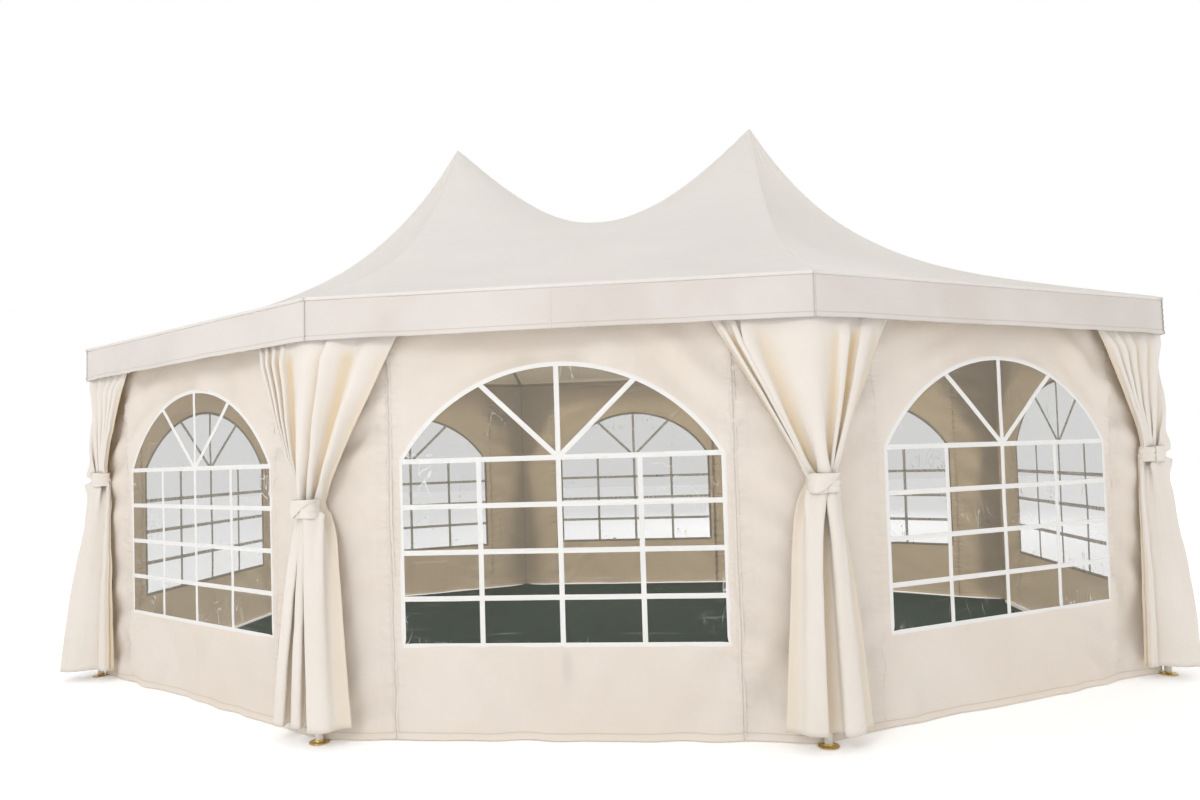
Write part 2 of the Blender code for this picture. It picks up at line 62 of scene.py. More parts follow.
class Corner(Enum):
    """The eight corners, anticlockwise seen from above."""

    FRONT_LEFT = 0
    FRONT_RIGHT = 1
    RIGHT_FRONT = 2
    RIGHT_BACK = 3
    BACK_RIGHT = 4
    BACK_LEFT = 5
    LEFT_BACK = 6
    LEFT_FRONT = 7

    @property
    def label(self) -> str:
        """The corner's name as its pieces spell it."""
        return self.name.lower()

    @property
    def lean(self) -> int:
        """Way along the walls in which its curtain's bundle lies beside the pole, or 0 in front of it."""
        return {2: -1, 3: 1, 6: -1, 7: 1}.get(self.value, 0)


class Side(Enum):
    """The eight sides, each named by the way it faces and numbered by its first corner."""

    FRONT = 0
    FRONT_RIGHT = 1
    RIGHT = 2
    BACK_RIGHT = 3
    BACK = 4
    BACK_LEFT = 5
    LEFT = 6
    FRONT_LEFT = 7

    @property
    def label(self) -> str:
        """The side's name as its pieces spell it."""
        return self.name.lower()

    @property
    def opens(self) -> bool:
        """True for the two long sides' panels, which are closed by zips."""
        return self in (Side.FRONT, Side.BACK)


# Small mathematical helpers


def smooth(x: Points | float) -> Points:
    """A rise from 0 to 1 with level ends, 3x^2 - 2x^3, held at its ends outside 0 to 1.

    Args:
        x: Where on the rise.

    Returns:
        The height of the rise.
    """
    x = np.clip(x, 0.0, 1.0)
    return x * x * (3.0 - 2.0 * x)


def bump_at(x: Points, middle: float, width: float) -> Points:
    """A round bump of height 1 at middle, exp(-((x - middle) / width)^2)."""
    return np.exp(-(((x - middle) / width) ** 2))


def soft_distance(x: Points | float, rounding: Points | float) -> Points:
    """Distance from 0 with its corner there rounded off: sqrt(x^2 + r^2) - r."""
    return np.sqrt(x**2 + rounding**2) - rounding


def blunt(wave: Points) -> Points:
    """A sine or cosine to the power 0.8, which together draw a blunt oval."""
    return np.sign(wave) * np.abs(wave) ** 0.8


def stretch(start: Sequence[float] | float, end: Sequence[float] | float, count: int) -> Points:
    """So many evenly spaced points from start towards end, without the end itself."""
    return np.linspace(start, end, count + 1)[:-1]


def level_rows(direction: Points, count: int) -> Points:
    """A level direction given in plan, as one row in space for each of count points."""
    return np.tile(np.append(direction, 0.0), (count, 1))


@dataclass(frozen=True)
class Ripples:
    """Smooth random heights over a plane, from a lattice of random numbers.

    Attributes:
        seed: Which lattice.
        size: Lattice spacing along the first coordinate, in metres.
        tall: Lattice spacing along the second coordinate, in metres.
        COUNT: Places along each side of the lattice, after which it repeats.
        START: Where on the lattice both coordinates are 0, off its own lines.
    """

    COUNT: ClassVar[int] = 64
    START: ClassVar[tuple[float, float]] = (17.3, 11.7)

    seed: int
    size: float
    tall: float | None = None

    def at(self, u: Points, v: Points) -> Points:
        """Heights between -1 and 1: the four lattice values round a point, blended smoothly.

        Args:
            u: First coordinates.
            v: Second coordinates.

        Returns:
            The heights.
        """
        count = self.COUNT
        lattice = np.random.default_rng(self.seed).uniform(-1.0, 1.0, (count, count))
        x = np.asarray(u, float) / self.size + self.START[0]
        y = np.asarray(v, float) / (self.tall or self.size) + self.START[1]
        i, j = np.floor(x).astype(int), np.floor(y).astype(int)
        p, q = smooth(x - i), smooth(y - j)
        i, j = i % count, j % count
        k, m = (i + 1) % count, (j + 1) % count
        low = lattice[i, j] * (1 - p) + lattice[k, j] * p
        high = lattice[i, m] * (1 - p) + lattice[k, m] * p
        return low * (1 - q) + high * q


# Mesh making


def grid_quads(rows: int, columns: int, wrap: bool = False, start: int = 0) -> Quads:
    """Quads of a grid of points in rows. wrap joins the last column to the first.

    Args:
        rows: Number of rows of points.
        columns: Number of points in a row.
        wrap: Whether each row closes on itself.
        start: Number of the first point.

    Returns:
        One row of four point numbers for each quad.
    """
    row = np.arange(rows - 1)[:, None]
    column = np.arange(columns if wrap else columns - 1)[None, :]
    after = (column + 1) % columns
    here, ahead = row * columns, (row + 1) * columns
    corners = (here + column, here + after, ahead + after, ahead + column)
    return np.stack(np.broadcast_arrays(*corners), axis=-1).reshape(-1, 4) + start


@dataclass
class Skin:
    """Points and quads of one piece while it is put together.

    Attributes:
        points: Points of each surface added so far.
        quads: Quads of each surface.
        flat: Place of each point on the flat cloth.
        count: Number of points so far.
        END_SHARE: Radius of a round welt's closed ends, as a share of the welt's own.
    """

    END_SHARE: ClassVar[float] = 0.05

    points: list[Points] = field(default_factory=list)
    quads: list[Quads] = field(default_factory=list)
    flat: list[Points] = field(default_factory=list)
    count: int = 0

    def add(
        self, grid: Points, flat: Points | None = None, wrap: bool = False, flip: bool = False
    ) -> None:
        """Adds a grid of points as quads.

        Args:
            grid: Points in rows and columns.
            flat: Where each point lies on the flat cloth, in metres. A third value is its
                place in the fold map.
            wrap: Whether each row closes on itself.
            flip: Turns the quads over.
        """
        rows, columns = grid.shape[:2]
        quads = grid_quads(rows, columns, wrap, self.count)
        self.quads.append(quads[:, ::-1] if flip else quads)
        self.points.append(grid.reshape(-1, 3))
        flat = np.zeros((rows * columns, 2)) if flat is None else flat.reshape(rows * columns, -1)
        self.flat.append(flat)
        self.count += rows * columns

    def add_bar(
        self, path: Points, across: Points, out: Points, width: float, thick: float, closed: bool = False
    ) -> None:
        """Adds a flat bar: a section of six points, a low roof on a flat base, carried along a path.

        Args:
            path: Points of the bar's base line.
            across: Direction of its width at each point.
            out: Direction of its thickness at each point.
            width: Its width.
            thick: Its thickness.
            closed: Whether it joins its own start.
        """
        shape = np.array([(-0.5, 0.0), (0.5, 0.0), (0.5, 0.6), (0.38, 1.0), (-0.38, 1.0), (-0.5, 0.6)])
        ring = path[:, None] + across[:, None] * (shape[:, :1] * width)
        ring = ring + out[:, None] * (shape[:, 1:] * thick)
        if closed:
            ring = np.concatenate([ring, ring[:1]])
        run = np.concatenate([[0.0], np.cumsum(np.linalg.norm(np.diff(ring[:, 0], axis=0), axis=1))])
        flat = np.stack(np.broadcast_arrays(shape[None, :, 0] * width, run[:, None]), axis=-1)
        start = self.count
        self.add(ring, flat, wrap=True)
        if not closed:
            last = self.count - len(shape)
            self.quads.append(np.array([[3, 2, 1, 0], [5, 4, 3, 0]]) + start)
            self.quads.append(np.array([[0, 1, 2, 3], [0, 3, 4, 5]]) + last)

    def add_round(self, path: Points, radius: float, sides: int = 8) -> None:
        """Adds a round welt: a circle carried along a path, upright at each point, with closed ends.

        Args:
            path: Points of its middle line.
            radius: Its radius.
            sides: Points round the circle.
        """
        along = np.gradient(path, axis=0)
        along /= np.linalg.norm(along, axis=1, keepdims=True)
        across = np.cross(along, (0.0, 0.0, 1.0))
        across /= np.linalg.norm(across, axis=1, keepdims=True)
        up = np.cross(across, along)
        turn = np.linspace(0, 2 * math.pi, sides, endpoint=False)
        taper = np.full(len(path), radius)
        taper[[0, -1]] = radius * self.END_SHARE
        ring = path[:, None] + taper[:, None, None] * (
            np.cos(turn)[None, :, None] * across[:, None] + np.sin(turn)[None, :, None] * up[:, None]
        )
        self.add(ring, wrap=True)

    def piece(self, name: str, finish: bpy.types.Material, merge: float = 1e-5) -> bpy.types.Object:
        """Makes the piece: one mesh, its doubles merged, its faces outward, shaded smooth.

        Args:
            name: The piece's name.
            finish: Its material.
            merge: Distance within which points become one.

        Returns:
            The new object.
        """
        points = np.concatenate(self.points)
        quads = np.concatenate(self.quads)
        mesh = bpy.data.meshes.new(name)
        mesh.vertices.add(len(points))
        mesh.vertices.foreach_set("co", points.astype(np.float32).ravel())
        mesh.loops.add(quads.size)
        mesh.loops.foreach_set("vertex_index", quads.astype(np.int32).ravel())
        mesh.polygons.add(len(quads))
        mesh.polygons.foreach_set("loop_start", np.arange(0, quads.size, 4, dtype=np.int32))
        flat = np.concatenate(self.flat)[quads.ravel()].astype(np.float32)
        mesh.uv_layers.new(name="cloth").data.foreach_set("uv", flat[:, :2].ravel())
        if flat.shape[1] > 2:
            mesh.uv_layers.new(name="fold").data.foreach_set("uv", np.repeat(flat[:, 2], 2))
        mesh.update(calc_edges=True)
        mesh.validate()
        tidy = bmesh.new()
        tidy.from_mesh(mesh)
        bmesh.ops.remove_doubles(tidy, verts=tidy.verts, dist=merge)
        bmesh.ops.dissolve_degenerate(tidy, edges=tidy.edges, dist=1e-6)
        tidy.to_mesh(mesh)
        tidy.free()
        mesh.shade_smooth()
        mesh.materials.append(finish)
        made = bpy.data.objects.new(name, mesh)
        bpy.context.collection.objects.link(made)
        return made

    def closed_piece(
        self, name: str, finish: bpy.types.Material, merge: float = 1e-5, sharp: float = 0.0
    ) -> bpy.types.Object:
        """Makes the piece from closed surfaces, with their faces turned outwards.

        Args:
            name: The piece's name.
            finish: Its material.
            merge: Distance within which points become one.
            sharp: Angle in degrees from which edges are shaded sharp, if any are.

        Returns:
            The new object.
        """
        made = self.piece(name, finish, merge)
        shape = bmesh.new()
        shape.from_mesh(made.data)
        bmesh.ops.recalc_face_normals(shape, faces=shape.faces)
        shape.to_mesh(made.data)
        shape.free()
        if sharp:
            sharpen(made, sharp)
        return made


def thicken(piece: bpy.types.Object, depth: float) -> None:
    """Gives a sheet its thickness, inwards from the side its faces look at.

    Args:
        piece: The sheet.
        depth: Its thickness.
    """
    wall = piece.modifiers.new("thickness", "SOLIDIFY")
    wall.thickness = depth
    wall.offset = -1.0
    wall.use_even_offset = False


def sharpen(piece: bpy.types.Object, degrees: float) -> None:
    """Shades edges sharp where they turn by more than an angle."""
    piece.data.set_sharp_from_angle(angle=math.radians(degrees))


def settle(piece: bpy.types.Object, slot: str, *nodes: str) -> bpy.types.Object:
    """Ties a piece to the tent's one body and hides the nodes it stands for.

    Args:
        piece: The piece.
        slot: Not used.
        nodes: Names of the nodes it stands for.

    Returns:
        The piece.
    """
    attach(piece, "root")
    if nodes:
        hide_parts(*nodes)
    return piece


# Finishes


def linear(code: str) -> tuple[float, float, float, float]:
    """Linear colour of an sRGB hex value such as "#e8e3dc".

    Args:
        code: The hex value.

    Returns:
        Red, green, blue and 1.
    """
    parts = np.array([int(code[i : i + 2], 16) / 255 for i in (1, 3, 5)])
    values = np.where(parts <= 0.04045, parts / 12.92, ((parts + 0.055) / 1.055) ** 2.4)
    return (*map(float, values), 1.0)


def node(
    tree: bpy.types.NodeTree,
    kind: str,
    links: dict[str | int, Source] | None = None,
    values: dict[str | int, object] | None = None,
    **settings: object,
) -> bpy.types.Node:
    """Adds a node with its settings, input values and links.

    Args:
        tree: The material's node tree.
        kind: The node's type without its ShaderNode prefix.
        links: Input name or number to what feeds it: a socket, or a node for its first output.
        values: Input name or number to its value.
        settings: The node's own properties.

    Returns:
        The new node.
    """
    made = tree.nodes.new(f"ShaderNode{kind}")
    for name, value in settings.items():
        setattr(made, name, value)
    for name, value in (values or {}).items():
        made.inputs[name].default_value = value
    for name, source in (links or {}).items():
        socket = source.outputs[0] if isinstance(source, bpy.types.Node) else source
        tree.links.new(socket, made.inputs[name])
    return made


def new_tree(name: str) -> tuple[bpy.types.Material, bpy.types.NodeTree]:
    """A material and its node tree, still empty.

    Args:
        name: The material's name.

    Returns:
        Both.
    """
    made = bpy.data.materials.new(name)
    made.use_nodes = True
    made.node_tree.nodes.clear()
    return made, made.node_tree


@dataclass(frozen=True)
class ClothFinish:
    """Coated woven polyester: matt, with a fine weave, soft creases and a little light through it.

    Attributes:
        name: The material's name.
        colour: Main colour.
        shade: Colour of the slightly darker patches.
        roughness: Roughness of the coating.
        through: Share of the light that the cloth lets through.
        through_colour: Colour of that light.
        weave: Spacing of the drawn threads in metres.
        crease: Height of the fine creases in metres.
        crease_size: Spacing of the fine creases in metres.
        sheen: Strength of the soft sheen at grazing angles.
        seam_reach: Distance of the upright seams from the panel's middle, if it has them.
        stitch: Height of the hem's stitched line on the flat cloth, if it has one.
        stitch_colour: Colour of that line: thread with painted shade of its groove.
        valley: Colour painted deep in a fold as its shade and warm bounce light, if it has folds.
    """

    name: str
    colour: str
    shade: str
    roughness: float = 0.62
    through: float = 0.2
    through_colour: str = "#e6d9bf"
    weave: float = 0.0022
    crease: float = 0.0016
    crease_size: float = 0.11
    sheen: float = 0.15
    seam_reach: float = 0.0
    stitch: float = 0.0
    stitch_colour: str = "#b9ab97"
    valley: str = ""

    def toned(self, tree: bpy.types.NodeTree, flat: Source, colour: Source) -> Source:
        """The cloth's colour with its stitched hem line, 4 mm wide and darker with painted groove shade,
        and painted shade and bounce light in its fold valleys.

        Args:
            tree: The material's node tree.
            flat: Place on the flat cloth.
            colour: The plain colour.

        Returns:
            The toned colour.
        """
        # The stitched line's colour is partly thread and partly painted shade of its groove
        if self.stitch:
            height = node(tree, "SeparateXYZ", {"Vector": flat}).outputs["Y"]
            away = node(tree, "Math", {0: height}, {1: self.stitch}, operation="SUBTRACT")
            far = node(tree, "Math", {0: away}, operation="ABSOLUTE")
            line = node(
                tree, "MapRange", {"Value": far},
                {"From Min": 0.001, "From Max": 0.004, "To Min": 0.5, "To Max": 0.0},
            )
            thread = {7: linear(self.stitch_colour)}
            mixed = node(tree, "Mix", {0: line, 6: colour}, thread, data_type="RGBA")
            colour = mixed.outputs[2]
        # Painted shade and bounce light: the fold map's depth mixes the valley colour in deep in each fold
        if self.valley:
            depth = node(tree, "SeparateXYZ", {"Vector": node(tree, "UVMap", uv_map="fold")})
            mixed = node(tree, "Mix", {0: depth, 6: colour}, {7: linear(self.valley)}, data_type="RGBA")
            colour = mixed.outputs[2]
        return colour

    def puckers(self, tree: bpy.types.NodeTree, flat: Source, normal: Source) -> Source:
        """Short level puckers beside each upright seam, where the thread has drawn the cloth in.

        Args:
            tree: The material's node tree.
            flat: Place on the flat cloth, measured from the panel's middle.
            normal: The normal so far.

        Returns:
            The normal with the puckers.
        """
        split = node(tree, "SeparateXYZ", {"Vector": flat}).outputs
        side = node(tree, "Math", {0: split["X"]}, operation="ABSOLUTE")
        away = node(tree, "Math", {0: side}, {1: self.seam_reach}, operation="SUBTRACT")
        far = node(tree, "Math", {0: away}, operation="ABSOLUTE")
        near = node(
            tree, "MapRange", {"Value": far},
            {"From Min": 0.012, "From Max": 0.075, "To Min": 1.0, "To Max": 0.0},
        )
        # One pucker about every 30 mm of height, five times as wide as it is tall
        level = node(tree, "Mapping", {"Vector": flat}, {"Scale": (7.0, 34.0, 1.0)})
        grain = {"Scale": 1.0, "Detail": 1.5, "Roughness": 0.5}
        rows = node(tree, "TexNoise", {"Vector": level}, grain)
        height = node(tree, "Math", {0: rows, 1: near}, operation="MULTIPLY")
        relief = {"Strength": 1.0, "Distance": 0.012}
        return node(tree, "Bump", {"Height": height, "Normal": normal}, relief)

    def build(self) -> bpy.types.Material:
        """Makes the material.

        The real threads are 0.3 mm apart, which no render of the whole tent can show, so the
        weave is drawn several times coarser and very shallow.

        Returns:
            The material.
        """
        made, tree = new_tree(self.name)
        flat = node(tree, "UVMap", uv_map="cloth")
        patches = node(tree, "TexNoise", {"Vector": flat}, {"Scale": 1.6, "Detail": 3.0, "Roughness": 0.55})
        tint = node(tree, "ValToRGB", {"Fac": patches})
        tint.color_ramp.elements[0].position = 0.32
        tint.color_ramp.elements[0].color = linear(self.shade)
        tint.color_ramp.elements[1].position = 0.62
        tint.color_ramp.elements[1].color = linear(self.colour)
        # A wave texture at scale 1 has 20 bands to the metre
        threads = {"Scale": 1.0 / self.weave / 20, "Distortion": 0.6, "Detail": 1.0}
        warp = node(tree, "TexWave", {"Vector": flat}, threads, bands_direction="X")
        weft = node(tree, "TexWave", {"Vector": flat}, threads, bands_direction="Y")
        weave = node(tree, "Math", {0: warp.outputs["Fac"], 1: weft.outputs["Fac"]}, operation="MULTIPLY")
        slanted = {"Rotation": (0.0, 0.0, 0.5), "Scale": (1.0, 0.45, 1.0)}
        stretched = node(tree, "Mapping", {"Vector": flat}, slanted)
        folds = node(
            tree, "TexNoise", {"Vector": stretched},
            {"Scale": 1.0 / self.crease_size, "Detail": 3.0, "Roughness": 0.5, "Distortion": 0.4},
        )
        # The noise spans about a quarter of its range between a crease's foot and its top
        relief = {"Strength": 1.0, "Distance": self.crease * 4}
        crease = node(tree, "Bump", {"Height": folds}, relief)
        if self.seam_reach:
            crease = self.puckers(tree, flat, crease)
        shallow = {"Strength": 0.25, "Distance": 0.0004}
        fine = node(tree, "Bump", {"Height": weave, "Normal": crease}, shallow)
        face = node(
            tree,
            "BsdfPrincipled",
            {"Base Color": self.toned(tree, flat, tint), "Normal": fine},
            {
                "Roughness": self.roughness,
                "IOR": 1.46,
                "Sheen Weight": self.sheen,
                "Sheen Roughness": 0.5,
                "Specular IOR Level": 0.35,
            },
        )
        light = {"Color": linear(self.through_colour)}
        behind = node(tree, "BsdfTranslucent", {"Normal": fine}, light)
        both = node(tree, "MixShader", {1: face, 2: behind}, {0: self.through})
        node(tree, "OutputMaterial", {"Surface": both})
        return made


@dataclass(frozen=True)
class FilmFinish:
    """Clear soft PVC film: glossy, slightly dim, with thin white crumple lines painted on as highlights.

    Attributes:
        name: The material's name.
        body: Colour of the film's own faint tint.
        line: Colour of its crumple lines, a painted highlight.
        cover: Share of the light that the film holds back.
        crumple_highlight: How solid a crumple line's painted highlight is.
        rub: How solid the slanting rub marks are.
    """

    name: str = "clear_pvc_film"
    body: str = "#6c6e6a"
    line: str = "#fbfcfc"
    cover: float = 0.24
    crumple_highlight: float = 0.62
    rub: float = 0.10

    def build(self) -> bpy.types.Material:
        """Makes the material.

        The film was folded when packed, and its crumple lines are painted highlights, white where
        its creases would catch the light. They are contours of a wavy field, a few centimetres apart,
        and show only in patches near the film's edges. The rub marks are long streaks that slant
        across it.

        Returns:
            The material.
        """
        made, tree = new_tree(self.name)
        flat = node(tree, "UVMap", uv_map="cloth")
        # Painted highlights: the crumple lines gather in patches near the film's edges
        edge = node(tree, "SeparateXYZ", {"Vector": node(tree, "UVMap", uv_map="fold")})
        patches = {"Scale": 2.6, "Detail": 3.0, "Roughness": 0.6, "Distortion": 0.6}
        wide = node(tree, "TexNoise", {"Vector": flat}, patches)
        near = node(tree, "Math", {0: edge, 2: wide}, {1: 0.13}, operation="MULTIPLY_ADD")
        where = node(
            tree, "MapRange", {"Value": near},
            {"From Min": 0.61, "From Max": 0.74, "To Min": 0.0, "To Max": 1.0},
        )
        turned = node(
            tree, "Mapping", {"Vector": flat}, {"Rotation": (0.0, 0.0, -0.85), "Scale": (1.0, 0.36, 1.0)}
        )
        wavy = {"Scale": 5.0, "Detail": 2.0, "Roughness": 0.5, "Distortion": 1.8}
        curls = node(tree, "TexNoise", {"Vector": turned}, wavy)
        # Eight times to and fro over the field's range gives about as many contours
        nested = node(tree, "Math", {0: curls}, {1: 8.0}, operation="MULTIPLY")
        again = node(tree, "Math", {0: nested}, {1: 0.5}, operation="PINGPONG")
        line = node(
            tree, "MapRange", {"Value": again},
            {"From Min": 0.0, "From Max": 0.06, "To Min": 1.0, "To Max": 0.0},
        )
        marks = node(tree, "Math", {0: line, 1: where}, operation="MULTIPLY")
        slant = node(
            tree, "Mapping", {"Vector": flat}, {"Rotation": (0.0, 0.0, -0.62), "Scale": (1.0, 22.0, 1.0)}
        )
        streaks = {"Scale": 2.4, "Detail": 3.0, "Roughness": 0.55, "Distortion": 0.25}
        rubs = node(tree, "TexNoise", {"Vector": slant}, streaks)
        rub = node(
            tree, "MapRange", {"Value": rubs},
            {"From Min": 0.62, "From Max": 0.74, "To Min": 0.0, "To Max": self.rub},
        )
        # The painted crumple highlights and the real rub marks together make the film's white
        highlights_and_rubs = node(tree, "Math", {0: marks, 2: rub}, {1: self.crumple_highlight}, operation="MULTIPLY_ADD")
        cover = node(tree, "Math", {0: highlights_and_rubs}, {1: self.cover}, operation="ADD", use_clamp=True)
        share = node(tree, "Math", {0: highlights_and_rubs, 1: cover}, operation="DIVIDE", use_clamp=True)
        tint = node(tree, "ValToRGB", {"Fac": share})
        tint.color_ramp.elements[0].color = linear(self.body)
        tint.color_ramp.elements[1].color = linear(self.line)
        ripple = node(tree, "Bump", {"Height": wide}, {"Strength": 0.8, "Distance": 0.02})
        face = node(
            tree, "BsdfPrincipled", {"Base Color": tint, "Alpha": cover, "Normal": ripple},
            {"Roughness": 0.07, "IOR": 1.53},
        )
        node(tree, "OutputMaterial", {"Surface": face})
        return made


@dataclass(frozen=True)
class SolidFinish:
    """A plain surface with slight mottling: coated or plated steel, nylon or a floor sheet.

    Attributes:
        name: The material's name.
        colour: Main colour.
        shade: Colour of its darker mottling.
        roughness: Its roughness.
        metallic: 1 for bare or plated metal.
        grain: Size of the mottling in metres.
        depth: Depth of the mottling's relief in metres.
        ior: Index of refraction of a coating that isn't metal.
        uneven: How far the roughness rises and falls with the mottling.
    """

    name: str
    colour: str
    shade: str
    roughness: float
    metallic: float = 0.0
    grain: float = 0.03
    depth: float = 0.0002
    ior: float = 1.5
    uneven: float = 0.06

    def build(self) -> bpy.types.Material:
        """Makes the material.

        Returns:
            The material.
        """
        made, tree = new_tree(self.name)
        place = node(tree, "TexCoord").outputs["Object"]
        grains = {"Scale": 1.0 / self.grain, "Detail": 4.0, "Roughness": 0.6}
        mottle = node(tree, "TexNoise", {"Vector": place}, grains)
        tint = node(tree, "ValToRGB", {"Fac": mottle})
        tint.color_ramp.elements[0].position = 0.35
        tint.color_ramp.elements[0].color = linear(self.shade)
        tint.color_ramp.elements[1].position = 0.65
        tint.color_ramp.elements[1].color = linear(self.colour)
        rough = node(
            tree, "MapRange", {"Value": mottle},
            {"To Min": self.roughness - self.uneven, "To Max": self.roughness + self.uneven},
        )
        relief = node(tree, "Bump", {"Height": mottle}, {"Strength": 0.6, "Distance": self.depth})
        face = node(
            tree, "BsdfPrincipled", {"Base Color": tint, "Roughness": rough, "Normal": relief},
            {"Metallic": self.metallic, "IOR": self.ior},
        )
        node(tree, "OutputMaterial", {"Surface": face})
        return made


@dataclass(frozen=True)
class StripFinish:
    """White PVC strip, half shiny, thin enough to let some light through.

    Attributes:
        name: The material's name.
        colour: Its colour.
        through: Share of the light that it lets through.
        through_colour: Colour of that light.
    """

    name: str = "white_pvc_strip"
    colour: str = "#ffffff"
    through: float = 0.34
    through_colour: str = "#f4efe4"

    def build(self) -> bpy.types.Material:
        """Makes the material, with slight unevenness from welding.

        Returns:
            The material.
        """
        made, tree = new_tree(self.name)
        place = node(tree, "TexCoord").outputs["Object"]
        uneven = node(tree, "TexNoise", {"Vector": place}, {"Scale": 30.0, "Detail": 2.0})
        relief = node(tree, "Bump", {"Height": uneven}, {"Strength": 0.5, "Distance": 0.001})
        plain = {"Base Color": linear(self.colour), "Roughness": 0.4}
        face = node(tree, "BsdfPrincipled", {"Normal": relief}, plain)
        behind = node(tree, "BsdfTranslucent", values={"Color": linear(self.through_colour)})
        both = node(tree, "MixShader", {1: face, 2: behind}, {0: self.through})
        node(tree, "OutputMaterial", {"Surface": both})
        return made


def made_of(kind: type, *looks: object, **more: object) -> bpy.types.Material:
    """A field of Finishes: the material of a finish of one kind, made when Finishes is.

    Args:
        kind: The finish's class.
        looks: Its attributes in order.
        more: Further attributes by name.

    Returns:
        The field.
    """
    return field(default_factory=lambda: kind(*looks, **more).build())


@dataclass
class Finishes:
    """All the tent's finishes, made once.

    Attributes:
        roof: Heavy coated polyester, which looks pale grey-white and matt.
        skirt: The same weight of cloth dyed cream, with a stitched hem.
        wall: Thin cream cloth, which glows a little against the light and puckers at its seams.
        curtain: Soft cream cloth with a silky face, and warm painted shade deep in its folds.
        film: Clear soft PVC.
        strip: White PVC strip welded on the film and along the openings.
        zip_coil: Woven zip with a grey moulded nylon coil.
        zinc: Yellow-passivated zinc plating on steel: warm, half shiny, mottled.
        tube: Light powder coat on steel tube, slightly uneven.
        floor: Dark green woven floor sheet, dull with use.
    """

    roof: bpy.types.Material = made_of(
        ClothFinish, "roof_coated_polyester", "#fafafc", "#f5f5f8", roughness=0.55, through=0.42,
        through_colour="#f7ecd6", crease=0.0009, crease_size=0.22,
    )
    skirt: bpy.types.Material = made_of(
        ClothFinish, "valance_coated_polyester", "#dad3ce", "#d2cac3", roughness=0.55, through=0.08,
        through_colour="#e6d9bf", crease=0.0010, crease_size=0.14, stitch=1.999,
    )
    wall: bpy.types.Material = made_of(
        ClothFinish, "wall_thin_polyester", "#fbf7f4", "#f6f0ea", roughness=0.60, through=0.42,
        through_colour="#f4e6cd", crease=0.0014, seam_reach=0.845, stitch=0.040,
    )
    # The curtain's valley colour is painted shade and bounce light deep in its folds
    curtain: bpy.types.Material = made_of(
        ClothFinish, "curtain_soft_polyester", "#ece5dd", "#e7dfd5", roughness=0.46, through=0.14,
        through_colour="#e3cd9c", crease=0.0008, crease_size=0.06, sheen=0.3, valley="#dbc295",
    )
    film: bpy.types.Material = made_of(FilmFinish)
    strip: bpy.types.Material = made_of(StripFinish)
    zip_coil: bpy.types.Material = made_of(
        SolidFinish, "zip_coil_nylon", "#cfc7bc", "#bdb4a8", roughness=0.5, grain=0.004, depth=0.0005
    )
    zinc: bpy.types.Material = made_of(
        SolidFinish, "yellow_zinc_plated_steel", "#d9c184", "#b89c60", roughness=0.33,
        metallic=0.85, grain=0.012,
    )
    tube: bpy.types.Material = made_of(
        SolidFinish, "powder_coated_steel", "#ddd9cf", "#d2cdc1", roughness=0.42, grain=0.02
    )
    floor: bpy.types.Material = made_of(
        SolidFinish, "green_floor_sheet", "#22462c", "#193823", roughness=0.86, grain=0.35,
        depth=0.002, ior=1.3,
    )


# The tent's plan and roof form


@dataclass(frozen=True)
class Plan:
    """The octagon that the poles stand on, and places given from its sides.

    Attributes:
        half_length: Half the length between pole centres.
        half_depth: Half the depth between pole centres.
    """

    half_length: float = 3.345
    half_depth: float = 2.445

    @property
    def side(self) -> float:
        """Length of each of the eight equal sides."""
        total = self.half_length + self.half_depth
        return math.sqrt(total**2 + 2 * (self.half_length**2 + self.half_depth**2)) - total

    @property
    def corners(self) -> Points:
        """The eight pole centres, anticlockwise from the front left.

        Returns:
            One row (x, y) for each.
        """
        half = self.side / 2
        length, depth = self.half_length, self.half_depth
        right = [(half, -depth), (length, -half), (length, half), (half, depth)]
        left = [(-x, -y) for x, y in right]
        return np.array([left[3], *right, *left[:3]])

    def normal(self, side: int) -> Points:
        """Outward direction of a side."""
        along = self.heading(side)
        return np.array((along[1], -along[0]))

    def heading(self, side: int) -> Points:
        """Direction of a side from its first corner to its second."""
        start, end = self.corners[side % 8], self.corners[(side + 1) % 8]
        return (end - start) / np.linalg.norm(end - start)

    def mitre(self, corner: int) -> Points:
        """Step from a corner that moves both its sides outwards by one metre."""
        before, after = self.normal(corner - 1), self.normal(corner)
        return (before + after) / (1 + before @ after)

    def corner(self, corner: int, offset: float) -> Points:
        """A corner of the octagon whose sides lie outside the poles' by offset."""
        return self.corners[corner % 8] + self.mitre(corner) * offset

    def half_width(self, side: int, offset: float) -> float:
        """Half the length of a side moved outwards by offset."""
        return float(np.linalg.norm(self.corner(side + 1, offset) - self.corner(side, offset)) / 2)

    def place(self, side: int, along: Points, offset: Points | float, height: Points | float) -> Points:
        """Points given along a side from its middle, outwards from the pole line, and by height.

        Args:
            side: Number of the side.
            along: Distances along the side.
            offset: Distances outwards.
            height: Heights.

        Returns:
            The points.
        """
        middle = (self.corners[side % 8] + self.corners[(side + 1) % 8]) / 2
        along, offset, height = np.broadcast_arrays(along, offset, height)
        plan = middle + along[..., None] * self.heading(side) + offset[..., None] * self.normal(side)
        return np.concatenate([plan, height[..., None]], axis=-1)

    def corner_axes(self, corner: int) -> tuple[Points, Points, float]:
        """Outward and sideways directions at a corner, and half the turn between its sides.

        Args:
            corner: Number of the corner.

        Returns:
            Both directions and the angle.
        """
        step = self.mitre(corner)
        out = step / np.linalg.norm(step)
        return out, np.array((-out[1], out[0])), math.acos(min(1.0, float(out @ self.normal(corner))))


@dataclass(frozen=True)
class Part:
    """A sub-assembly of the tent.

    Attributes:
        plan: The tent's plan.
        finishes: The tent's finishes.
    """

    plan: Plan
    finishes: Finishes


